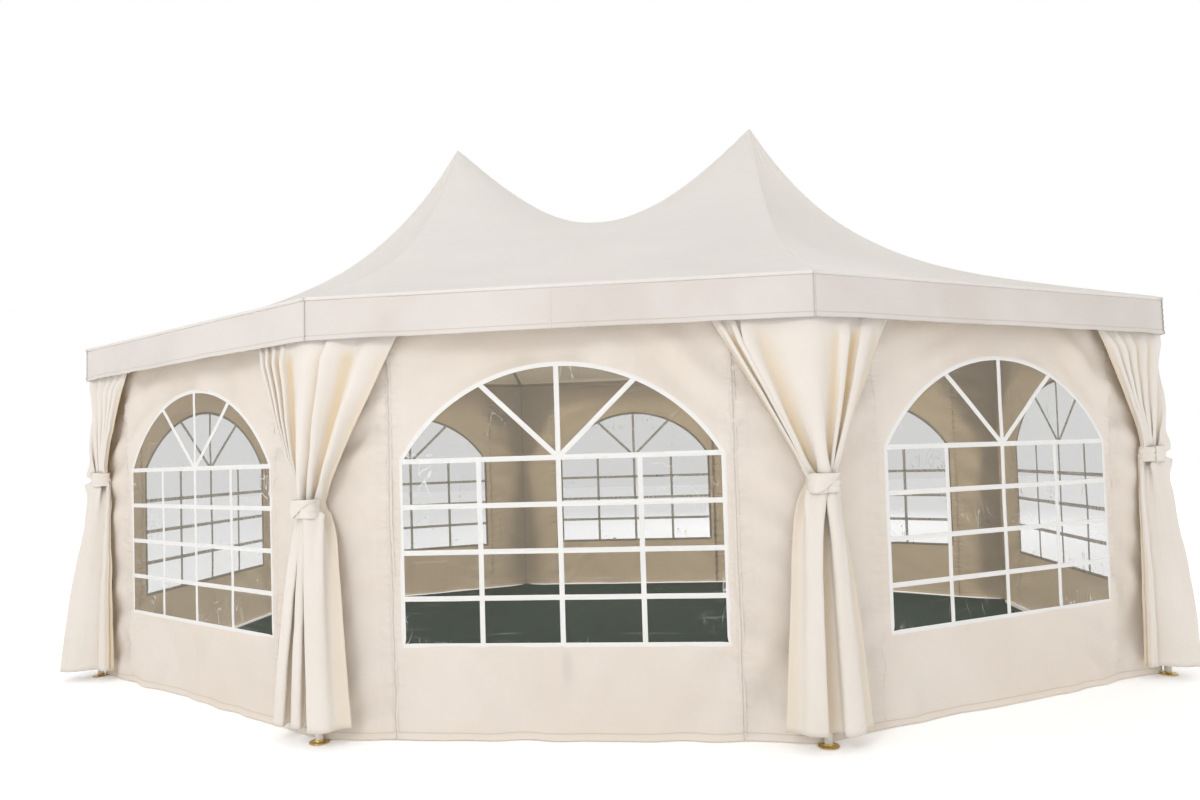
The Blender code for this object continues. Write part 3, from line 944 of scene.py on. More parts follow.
@dataclass(frozen=True)
class Roof(Part):
    """The roof cloth: two peaks, a hanging ridge between them, welted hips and a middle seam.

    Attributes:
        eave: Height of the roof's edge.
        peak: Height of the peaks.
        peak_x: Distance of each peak from the middle.
        saddle: Height of the ridge's lowest point.
        edge_out: Distance of the edge outside the pole line.
        cloth: Thickness of the cloth.
        lip: Distance outside the pole line and height of each row of the turned-down edge.
        rows: Points from a peak to the edge.
        wide_columns: Points across a long side's panel.
        columns: Points across the other panels.
        welt: Radius of the hips' welts.
        welt_sink: How deep their middle lies under the cloth.
        seam: Width of the middle seam.
        seam_rise: Thickness of the middle seam.
        uncut: Length and width of the cloth before it was cut.
    """

    eave: float = 2.19
    peak: float = 3.86
    peak_x: float = 1.16
    saddle: float = 3.14
    edge_out: float = 0.055
    cloth: float = 0.0018
    lip: tuple[tuple[float, float], ...] = (
        (0.0572, 2.1885),
        (0.0580, 2.1850),
        (0.0574, 2.1800),
        (0.0562, 2.1740),
    )
    rows: int = 53
    wide_columns: int = 97
    columns: int = 41
    welt: float = 0.0056
    welt_sink: float = 0.0020
    seam: float = 0.016
    seam_rise: float = 0.0012
    uncut: tuple[float, float] = (7.6, 6.4)

    @staticmethod
    def steep(long: bool, slope: Points) -> Points:
        """Share of the rise left along a hip: a straight fall mixed with one that dies out below.

        The long sides' hips take half of (1-s) and half of (1-s)^3. The ends' hips take 0.42
        of (1-s) and 0.58 of (1-s)^4, so they hang deeper.

        Args:
            long: Whether the hip bounds a long side.
            slope: Share of the way down.

        Returns:
            The shares.
        """
        left = 1.0 - slope
        return 0.5 * left + 0.5 * left**3 if long else 0.42 * left + 0.58 * left**4

    @staticmethod
    def rounded(distance: Points, rounding: Points | float) -> Points:
        """A run from 0 to 1 with its start rounded off."""
        return soft_distance(distance, rounding) / soft_distance(1.0, rounding)

    def hip(self, corner: int, slope: Points) -> Points:
        """Points of the hip from a corner's peak (slope 0) to the corner (slope 1).

        Args:
            corner: Number of the corner.
            slope: Shares of the way down.

        Returns:
            The points.
        """
        foot = self.plan.corner(corner, self.edge_out)
        top = np.array((math.copysign(self.peak_x, foot[0]), 0.0))
        plan = top + (foot - top) * slope[..., None]
        long = Corner(corner % 8).name.startswith(("FRONT", "BACK"))
        height = self.eave + (self.peak - self.eave) * self.steep(long, slope)
        return np.concatenate([plan, height[..., None]], axis=-1)

    def creases(self, points: Points) -> Points:
        """Small rises and falls: gathers that fan out from each peak, and long slack waves.

        Gathers: cos(24 a) round the peak, strongest 12 cm out and gone by 60 cm. Slack waves:
        ripples 60 cm long and 3.5 mm high, with smaller ones 20 cm long, gone at the edge.

        Args:
            points: Points of the cloth.

        Returns:
            The height to add at each.
        """
        x, y, z = points[..., 0], points[..., 1], points[..., 2]
        side_x = x - np.where(x > 0, self.peak_x, -self.peak_x)
        reach = np.hypot(side_x, y)
        turn = np.arctan2(y, side_x)
        fan = 0.0045 * np.cos(24 * turn + 2.2 * np.sin(3 * turn))
        fan = fan * (reach / 0.12) * np.exp(1 - reach / 0.12)
        inner = smooth((z - self.eave) / 0.25)
        slack = 0.0035 * Ripples(3, 0.62, 0.45).at(x, y)
        slack = slack + 0.0016 * Ripples(4, 0.21, 0.3).at(x + y, y - 0.5 * x)
        return (fan * smooth(reach / 0.05) + slack) * inner

    def panel(self, side: int, across: Points, slope: Points) -> Points:
        """Points of the cloth above a side, across from 0 to 1 and slope from the top to the edge.

        A long side's panel follows the hanging ridge between the peaks, and falls from each of
        its places as the hips do, with a start that is rounder the farther it is from a peak.
        The others are straight between their hips but sag by 0.28 s (1-s) 4t (1-t).

        Args:
            side: Number of the side.
            across: Shares of the way across.
            slope: Shares of the way down.

        Returns:
            The points.
        """
        one, two = self.hip(side, slope), self.hip((side + 1) % 8, slope)
        points = one + (two - one) * across[..., None]
        if Side(side).opens:
            near = np.abs(2 * across - 1)
            top = self.saddle - self.eave + (self.peak - self.saddle) * self.rounded(near, 0.6)
            away = 1 - near
            fall = self.rounded(slope, self.peak_x / 2.5 * away + 1.2 * away**3)
            points[..., 2] = self.eave + top * self.steep(True, fall)
        else:
            points[..., 2] -= 0.28 * slope * (1 - slope) * 4 * across * (1 - across)
        points[..., 2] += self.creases(points)
        return points

    def build(self) -> list[bpy.types.Object]:
        """Builds the cloth, its welted hip seams and its middle seam.

        Returns:
            The cloth and its seams.
        """
        skin = Skin()
        for side in range(8):
            columns = self.wide_columns if Side(side).opens else self.columns
            t, s = np.meshgrid(np.linspace(0, 1, columns), np.linspace(0, 1, self.rows) ** 1.15)
            # Each panel has its own part of the flat cloth, about 2.45 m wide and 2.9 m long
            flat = np.stack([(t - 0.5) * 2.45 * np.maximum(s, 0.02), s * 2.9], axis=-1) + side * 3.1
            level = t[:1] * 2 - 1
            lip = [
                self.plan.place(side, level * self.plan.half_width(side, out), out, height)
                for out, height in self.lip
            ]
            grid = np.concatenate([self.panel(side, t, s), *lip])
            skin.add(grid, np.concatenate([flat, *[flat[-1:] + (0.0, 0.005)] * len(lip)]))
        cloth = skin.piece("roof_cloth", self.finishes.roof)
        sharpen(cloth, 24)
        thicken(cloth, self.cloth)
        settle(cloth, "roof_cloth", "roof_canopy")
        welts = self.build_seams()
        return [cloth, welts]

    def build_seams(self) -> bpy.types.Object:
        """Builds a round welt on each hip and a flat seam across the middle.

        Returns:
            The seams.
        """
        seams = Skin()
        slope = np.linspace(0.012, 0.998, 90)
        for corner in range(8):
            line = self.hip(corner, slope)
            line[:, 2] += self.creases(line) - self.welt_sink
            seams.add_round(line, self.welt)
        slope = np.linspace(0, 0.995, 60)
        for side in (Side.FRONT, Side.BACK):
            line = self.panel(side.value, np.full_like(slope, 0.5), slope)
            line[:, 2] += self.seam_rise / 2
            across = level_rows(np.array((1.0, 0.0)), len(line))
            out = np.cross(across, np.gradient(line, axis=0))
            out /= np.linalg.norm(out, axis=1, keepdims=True)
            out *= np.sign(out[:, 2:])
            seams.add_bar(line, across, out, self.seam, self.seam_rise)
        welts = seams.closed_piece("roof_seams", self.finishes.roof)
        return settle(welts, "roof_cloth")


@dataclass(frozen=True)
class Skirt(Part):
    """The valance: one band of cloth round the eave, with a hem and a seam at each corner.

    Attributes:
        top: Height of the band's upper edge.
        bottom: Height of its lower edge.
        out: Distance of its upper edge outside the pole line.
        hem: Height of the hem.
        cloth: Thickness of the cloth.
        columns: Points along each side.
        corner_seam: Width of the seam at each corner.
        middle_seam: Width of the seam in the middle of a long side.
        seam_rise: Thickness of the seams.
    """

    top: float = 2.1893
    bottom: float = 1.975
    out: float = 0.0545
    hem: float = 0.024
    cloth: float = 0.0016
    columns: int = 97
    corner_seam: float = 0.005
    middle_seam: float = 0.010
    seam_rise: float = 0.0012

    def offset(self, run: Points, along: Points, half: float, height: Points) -> Points:
        """Distance outside the pole line: the flat band with its waves, puckers and hem.

        The waves grow downwards and lie between the corners. The puckers lie at the seams.

        Args:
            run: Distance round the tent.
            along: Distance from the middle of the side.
            half: Half the side's length.
            height: Height of the point.

        Returns:
            The distances.
        """
        fall = np.clip((self.top - height) / (self.top - self.bottom), 0, 1)
        between = smooth((half - np.abs(along)) / 0.25)
        wave = 0.030 * ((1 + Ripples(11, 0.21, 0.40).at(run, height)) / 2) ** 1.3
        wave = wave + 0.013 * (1 + Ripples(12, 0.075, 0.20).at(run + 0.5 * height, height)) / 2
        near = np.exp(-(half - np.abs(along)) / 0.06)
        pucker = 0.0016 * near * np.sin(height * 190 + 3 * Ripples(13, 0.2).at(run, height))
        hem = 0.0012 * smooth((self.bottom + self.hem - height) / 0.003 + 0.5)
        edge = -0.003 * smooth(1 - (self.top - height) / 0.004)
        return self.out + fall * (between * wave + 0.002) + pucker * smooth(fall * 5) + hem + edge

    def add_seam(self, seams: Skin, line: Points, out: Points, width: float) -> None:
        """Adds a raised seam down the band.

        Args:
            seams: The piece it is added to.
            line: Its middle line.
            out: Outward direction in plan.
            width: Its width.
        """
        across = np.array((out[1], -out[0]))
        count = len(line)
        seams.add_bar(line, level_rows(across, count), level_rows(out, count), width, self.seam_rise)

    def build(self) -> list[bpy.types.Object]:
        """Builds the band and the raised seams at its corners and middles.

        Returns:
            The band and its seams.
        """
        upper, lower = (0, 0.006, 0.015, 0.03), (0.884, 0.894, 0.93, 0.97, 1.0)
        falls = np.concatenate([upper, np.linspace(0.06, 0.86, 13), lower])
        heights = self.top - (self.top - self.bottom) * falls
        # Two thirds of the points' spacing is even, and the rest draws them to the corners
        even = np.linspace(-1, 1, self.columns)
        t = np.sin(even * math.pi / 2) * 0.35 + even * 0.65
        skin = Skin()
        seams = Skin()
        start = 0.0
        for side in Side:
            number = side.value
            half = self.plan.half_width(number, self.out)
            along, height = np.meshgrid(t * half, heights)
            run = along + half + start
            offset = self.offset(run, along, half, height)
            wider = along * (1 + (offset - self.out) / half * self.miter_share(number))
            points = self.plan.place(number, wider, offset, height)
            skin.add(points, np.stack([run, height], axis=-1), flip=True)
            out, _, _ = self.plan.corner_axes(number)
            self.add_seam(seams, points[1:, 0], out, self.corner_seam)
            if side.opens:
                middle = points[1:, self.columns // 2]
                self.add_seam(seams, middle, self.plan.normal(number), self.middle_seam)
            start += 2 * half
        band = skin.piece("valance_cloth", self.finishes.skirt, merge=2e-3)
        thicken(band, self.cloth)
        settle(band, "valance_cloth", "valance")
        welts = settle(seams.closed_piece("valance_seams", self.finishes.skirt), "valance_cloth")
        return [band, welts]

    def miter_share(self, side: int) -> float:
        """How much longer half a side grows for each metre outwards."""
        return self.plan.half_width(side, 1.0) - self.plan.half_width(side, 0.0)


# Walls and windows


@dataclass(frozen=True)
class Opening:
    """Outline of the arched window, and the grid of its white bars.

    Attributes:
        width: Width of the opening.
        sill: Height of its lower edge.
        spring: Height at which the arch starts.
        crown: Height of its highest point.
    """

    width: float = 1.58
    sill: float = 0.466
    spring: float = 1.365
    crown: float = 1.816

    @property
    def radius(self) -> float:
        """Radius of the arch: the circle through both springings and the crown."""
        rise = self.crown - self.spring
        return ((self.width / 2) ** 2 + rise**2) / (2 * rise)

    def arch(self, along: Points, grow: float = 0.0) -> Points:
        """Height of the arch at a distance from the window's middle."""
        reach = np.maximum((self.radius + grow) ** 2 - along**2, 0.0)
        return self.crown - self.radius + np.sqrt(reach)

    def outline(self, bottom: int, jamb: int, top: int, grow: float = 0.0) -> Points:
        """The outline as (along, height), anticlockwise from the lower left corner, seen from outside.

        Args:
            bottom: Points along the sill.
            jamb: Points up each jamb.
            top: Points round the arch.
            grow: Distance by which it lies outside the opening.

        Returns:
            The points, the last of which meets the first.
        """
        half = self.width / 2 + grow
        shoulder = float(self.arch(np.array(half), grow)) if grow <= 0 else self.spring + grow * 0.4
        low = self.sill - grow
        radius = self.radius + grow
        spread = math.asin(min(1.0, half / radius))
        angle = stretch(spread, -spread, top)
        rise = self.crown - self.radius + radius * np.cos(angle)
        return np.concatenate([
            stretch((-half, low), (half, low), bottom),
            stretch((half, low), (half, shoulder), jamb),
            np.stack([radius * np.sin(angle), rise], axis=1),
            stretch((-half, shoulder), (-half, low), jamb),
        ])


@dataclass(frozen=True)
class Wall(Part):
    """One wall panel with its window: cloth, hem, film, white bars and, on a long side, two zips.

    Attributes:
        side: Which of the eight walls.
        opening: Outline of its window.
        hem: Height of the hem's lower edge.
        top: Height of the upper edge.
        face: Distance of the cloth's flat face outside the pole line.
        film_face: The same of the film.
        cloth: Thickness of the cloth.
        seam_reach: Distance of the upright seams from the middle.
        seam_top: Height at which they end, under the valance.
        seam: Width and thickness of a plain seam.
        placket: Width and thickness of the strip that carries a zip.
        coil: Width and thickness of a zip's coil.
        border: Width of the strip round the window.
        bar: Width of the window's bars.
        lap: How far the film reaches behind the cloth round the window.
        gap: Distance of each upright edge from the corner between two panels.
        slack_share: Share of the cloth's slack that shows.
        setback: How far the free cloth lies inside its flat face.
        spoke: Angle in degrees of the slanting spokes from upright.
    """

    side: Side
    opening: Opening = Opening()
    hem: float = 0.006
    top: float = 2.150
    face: float = -0.0273
    film_face: float = -0.0292
    cloth: float = 0.0012
    seam_reach: float = 0.845
    seam_top: float = 2.03
    seam: tuple[float, float] = (0.010, 0.0018)
    placket: tuple[float, float] = (0.030, 0.0026)
    coil: tuple[float, float] = (0.0062, 0.0016)
    border: float = 0.022
    bar: float = 0.025
    lap: float = 0.014
    gap: float = 0.0006
    slack_share: float = 0.8
    setback: float = 0.002
    spoke: float = 46.0

    @property
    def number(self) -> int:
        """The side's number."""
        return self.side.value

    def slack(self, along: Points, height: Points) -> Points:
        """How far the cloth stands out of its plane before its edges hold it.

        Broad billows, upright drapes that grow towards the hem, slanting pulls that run from
        the window's lower corners, and rows of puckers beside the zips.

        Args:
            along: Distances from the panel's middle.
            height: Heights.

        Returns:
            The distances.
        """
        seed = 20 + 5 * self.number
        far = np.abs(along)
        broad = 0.022 * Ripples(seed, 0.38, 0.5).at(along, height)
        drape = 0.026 * Ripples(seed + 1, 0.15, 0.7).at(along - 0.55 * height * np.sign(along), height)
        drape = drape * smooth((0.62 - height) / 0.25)
        spread = along * 1.6 / (0.6 + height * 0.45)
        upper = 0.021 * Ripples(seed + 5, 0.15, 0.45).at(spread, height)
        upper = upper * smooth((height - 1.45) / 0.3)
        bent = 3 * Ripples(seed + 2, 0.5).at(along, height)
        pull = 0.024 * np.sin((height + 0.5 * far) * 24 + bent)
        pull = pull * Ripples(seed + 3, 0.30, 0.35).at(along, height) * smooth(far / 0.7)
        beside = bump_at(far, self.seam_reach + 0.03, 0.07)
        rows = 0.0035 * beside * np.sin(height * 84 + 5 * Ripples(seed + 4, 0.3).at(along, height))
        return broad + drape + upper + pull + rows

    def film_slack(self, along: Points, height: Points) -> Points:
        """How far the film stands out of its plane: shallow waves, held at the edges.

        Args:
            along: Distances from the panel's middle.
            height: Heights.

        Returns:
            The distances.
        """
        seed = 70 + self.number
        window = self.opening
        level = np.minimum(height - window.sill, window.arch(along) - height)
        inside = np.minimum(window.width / 2 - np.abs(along), level)
        wave = 0.004 * Ripples(seed, 0.30, 0.36).at(along + 0.3 * height, height)
        wave = wave + 0.0016 * Ripples(seed + 9, 0.1, 0.17).at(along, height)
        return wave * smooth(inside / 0.10)

    def outer(self, bottom: int, jamb: int, top: int) -> Points:
        """The panel's outer outline as (along, height), with points to match the window's.

        Args:
            bottom: Points along the hem.
            jamb: Points up each edge.
            top: Points along the upper edge.

        Returns:
            The points.
        """
        half = self.plan.half_width(self.number, self.face) - self.gap
        return np.concatenate([
            stretch((-half, self.hem), (half, self.hem), bottom),
            stretch((half, self.hem), (half, self.top), jamb),
            stretch((half, self.top), (-half, self.top), top),
            stretch((-half, self.top), (-half, self.hem), jamb),
        ])

    def stand(self, along: Points, height: Points, free: Points) -> Points:
        """Distance of the cloth outside the pole line.

        Args:
            along: Distance from the panel's middle.
            height: Height of the point.
            free: 0 where the cloth is held, 1 where it hangs free.

        Returns:
            The distances.
        """
        return self.face + free * (self.slack(along, height) * self.slack_share - self.setback)

    def directions(self, count: int) -> tuple[Points, Points]:
        """Directions along the wall and outwards, each as one row for each of count points."""
        heading, normal = self.plan.heading(self.number), self.plan.normal(self.number)
        return level_rows(heading, count), level_rows(normal, count)

    def build_cloth(self) -> bpy.types.Object:
        """Builds the panel as rings that grow from the window's outline to the panel's edge.

        Returns:
            The cloth.
        """
        counts = (64, 84, 72) if self.side.opens else (56, 76, 64)
        inner, outer = self.opening.outline(*counts), self.outer(*counts)
        share = np.concatenate([[0, 0.012], np.linspace(0.04, 0.955, 26), [0.975, 0.99, 1.0]])
        ring = inner[None] + (outer - inner)[None] * share[:, None, None]
        along, height = ring[..., 0], ring[..., 1]
        free = smooth(share / 0.16)[:, None] * smooth((self.top - height) / 0.35)
        half = self.plan.half_width(self.number, self.face)
        free = free * smooth((half - np.abs(along)) / 0.30 + 0.12)
        # The hem is doubled over for 34 mm
        step = 0.0015 * smooth((self.hem + 0.034 - height) / 0.004 + 0.5)
        offset = self.stand(along, height, free) + step
        skin = Skin()
        skin.add(self.plan.place(self.number, along, offset, height), ring, wrap=True)
        cloth = skin.piece(f"{self.side.label}_wall_cloth", self.finishes.wall)
        thicken(cloth, self.cloth)
        return settle(cloth, "wall_cloth", f"{self.side.label}_wall")

    def build_film(self) -> bpy.types.Object:
        """Builds the film as columns from just under the sill to just over the arch.

        Returns:
            The film.
        """
        inner = self.opening.width / 2
        half = inner + self.lap
        u, v = np.meshgrid(np.linspace(-half, half, 49), np.linspace(0, 1, 45))
        low = self.opening.sill - self.lap
        high = self.opening.arch(np.clip(u, -inner, inner)) + self.lap
        height = low + (high - low) * v
        offset = self.film_face + self.film_slack(u, height)
        rim = np.minimum(half - np.abs(u), np.minimum(height - low, high - height))
        # Each window has its own part of the film, and the fold map says how near its edge is, where the
        # painted crumple highlights gather
        apart = self.number * 2.7
        flat = np.stack([u + apart, height + apart, np.exp(-np.maximum(rim, 0) / 0.14)], axis=-1)
        skin = Skin()
        skin.add(self.plan.place(self.number, u, offset, height), flat)
        film = skin.piece(f"{self.side.label}_window_film", self.finishes.film)
        return settle(film, "window_film", f"{self.side.label}_window")

    def strip(self, skin: Skin, line: Points, width: float, lift: float) -> None:
        """Adds one white bar that follows the film along a line given as (along, height).

        Args:
            skin: The piece it is added to.
            line: Its middle line.
            width: Its width.
            lift: Its thickness.
        """
        along, height = line[:, 0], line[:, 1]
        offset = self.film_face + self.film_slack(along, height)
        path = self.plan.place(self.number, along, offset, height)
        _, out = self.directions(len(path))
        across = np.cross(out, np.gradient(path, axis=0))
        across /= np.linalg.norm(across, axis=1, keepdims=True)
        skin.add_bar(path, across, out, width, lift)

    def spoke_reach(self) -> float:
        """Length of a slanting spoke, from the spring line to the arch or the jamb.

        Returns:
            The length.
        """
        angle = math.radians(self.spoke)
        half = self.opening.width / 2
        run = np.linspace(0.0, 1.0, 400)[1:]
        along, height = run * math.sin(angle), self.opening.spring + run * math.cos(angle)
        inside = (height < self.opening.arch(np.minimum(along, half))) & (along < half)
        return float(run[inside].max())

    def build_bars(self) -> bpy.types.Object:
        """Builds the window's white bars.

        They are four rows, three columns of which the middle one goes up the arch, two
        slanting spokes and the strip round the window. Each kind has its own thickness, so
        that no two faces lie in one plane where bars cross.

        Returns:
            The bars.
        """
        window = self.opening
        skin = Skin()
        half = window.width / 2
        step = np.linspace(0, 1, 40)
        for row in range(1, 5):
            height = window.sill + (window.spring - window.sill) * row / 4
            line = np.stack([half * (2 * step - 1), np.full_like(step, height)], axis=1)
            self.strip(skin, line, self.bar, 0.0019)
        for column in (-0.5, 0.0, 0.5):
            top = window.spring if column else window.crown
            height = window.sill + (top - window.sill) * step
            line = np.stack([np.full_like(step, column * half), height], axis=1)
            self.strip(skin, line, self.bar, 0.0013)
        angle = math.radians(self.spoke)
        run = self.spoke_reach() * step
        for side in (-1, 1):
            line = np.stack([side * run * math.sin(angle), window.spring + run * math.cos(angle)], axis=1)
            self.strip(skin, line, self.bar, 0.0015)
        outline = window.outline(36, 26, 60, grow=self.border / 2 - 0.008)
        path = self.plan.place(self.number, outline[:, 0], self.face, outline[:, 1])
        ahead, behind = np.roll(path, -1, axis=0), np.roll(path, 1, axis=0)
        _, out = self.directions(len(path))
        across = np.cross(out, ahead - behind)
        across /= np.linalg.norm(across, axis=1, keepdims=True)
        skin.add_bar(path, across, out, self.border, 0.0014, closed=True)
        bars = skin.closed_piece(f"{self.side.label}_window_bars", self.finishes.strip, sharp=30)
        return settle(bars, "window_film")

    def build_seams(self) -> list[bpy.types.Object]:
        """Builds the upright seam beside each jamb, on a long side a zip: a placket and a coil.

        Returns:
            The seams, or the plackets and their coils.
        """
        made = []
        height = np.linspace(self.hem + 0.002, self.seam_top, 200)
        free = smooth((self.top - height) / 0.35)
        across, out = self.directions(len(height))
        for side, name in ((-1, "left"), (1, "right")):
            bend = 0.003 * Ripples(90 + side + self.number, 0.3).at(height, height)
            along = side * self.seam_reach + bend
            offset = self.stand(along, height, free) + 0.0004
            path = self.plan.place(self.number, along, offset, height)
            strips = [("seam", path, self.placket if self.side.opens else self.seam, self.finishes.wall)]
            if self.side.opens:
                strips.append(("zip", path + out * 0.0022, self.coil, self.finishes.zip_coil))
            for kind, line, (width, thick), finish in strips:
                skin = Skin()
                skin.add_bar(line, across, out, width, thick)
                piece = skin.closed_piece(f"{self.side.label}_{kind}_{name}", finish)
                made.append(settle(piece, "wall_cloth"))
        return made

    def build(self) -> list[bpy.types.Object]:
        """Builds the panel, its window and its zips.

        Returns:
            All of them.
        """
        cloth, film, bars = self.build_cloth(), self.build_film(), self.build_bars()
        seams = self.build_seams()
        width, height = 2 * self.plan.half_width(self.number, self.face), self.top - self.hem
        # The arch fills 0.69 of the rectangle round it, and the film is 4 % larger than the window
        return [cloth, film, bars, *seams]


# Curtains, ties and poles


@dataclass(frozen=True)
class Folds:
    """Folds across a cloth, valleys and ridges by turns, and how sharply it turns between them.

    Attributes:
        places: Where they lie across the cloth, from 0 at its left edge to 1, a valley first.
        far: Sharpness of each stretch between two of them, far from the tie.
        near: The same at the tie.
    """

    places: tuple[float, ...]
    far: tuple[float, ...]
    near: tuple[float, ...] | None = None

    def turn(self, across: Points, closeness: Points) -> Points:
        """Which way the cloth heads at each place: a half sine wave between a valley and a ridge.

        Args:
            across: Places across the cloth, one row.
            closeness: 1 at the tie and 0 far from it, one column.

        Returns:
            Directions before they are scaled to give the curtain its width.
        """
        places = np.array(self.places)
        part = np.clip(np.searchsorted(places, across, side="right") - 1, 0, len(places) - 2)
        local = (across - places[part]) / (places[part + 1] - places[part])
        wave = np.where(part % 2 == 0, 1.0, -1.0) * np.sin(math.pi * local)
        far = np.array(self.far)[part]
        near = np.array(self.near or (1.0,) * len(self.far))[part]
        return wave * (far * (1 - closeness) + near * closeness)

    def mirrored(self) -> "Folds":
        """The same folds the other way round, which needs a valley at both ends."""
        places = tuple(1 - place for place in self.places[::-1])
        return Folds(places, self.far[::-1], self.near and self.near[::-1])


@dataclass(frozen=True)
class Drape:
    """How one curtain hangs: its folds above and below the tie, and how far its edges reach.

    Attributes:
        above: Folds above the tie.
        below: Folds below it.
        top: Reach to the left and right under the valance.
        hem: Reach to the left and right at the hem.
        burst: Share of the widening that comes straight below the tie, left and right.
        rise: Height of the hem.
        swing: How much fuller the curtain stands out at its hem.
    """

    above: Folds
    below: Folds
    top: tuple[float, float] = (0.55, 0.55)
    hem: tuple[float, float] = (0.215, 0.215)
    burst: tuple[float, float] = (0.25, 0.4)
    rise: float = 0.068
    swing: float = 0.0

    def mirrored(self) -> "Drape":
        """The same drape the other way round.

        Returns:
            The new drape.
        """
        return replace(
            self,
            above=self.above.mirrored(),
            below=self.below.mirrored(),
            top=self.top[::-1],
            hem=self.hem[::-1],
            burst=self.burst[::-1],
        )


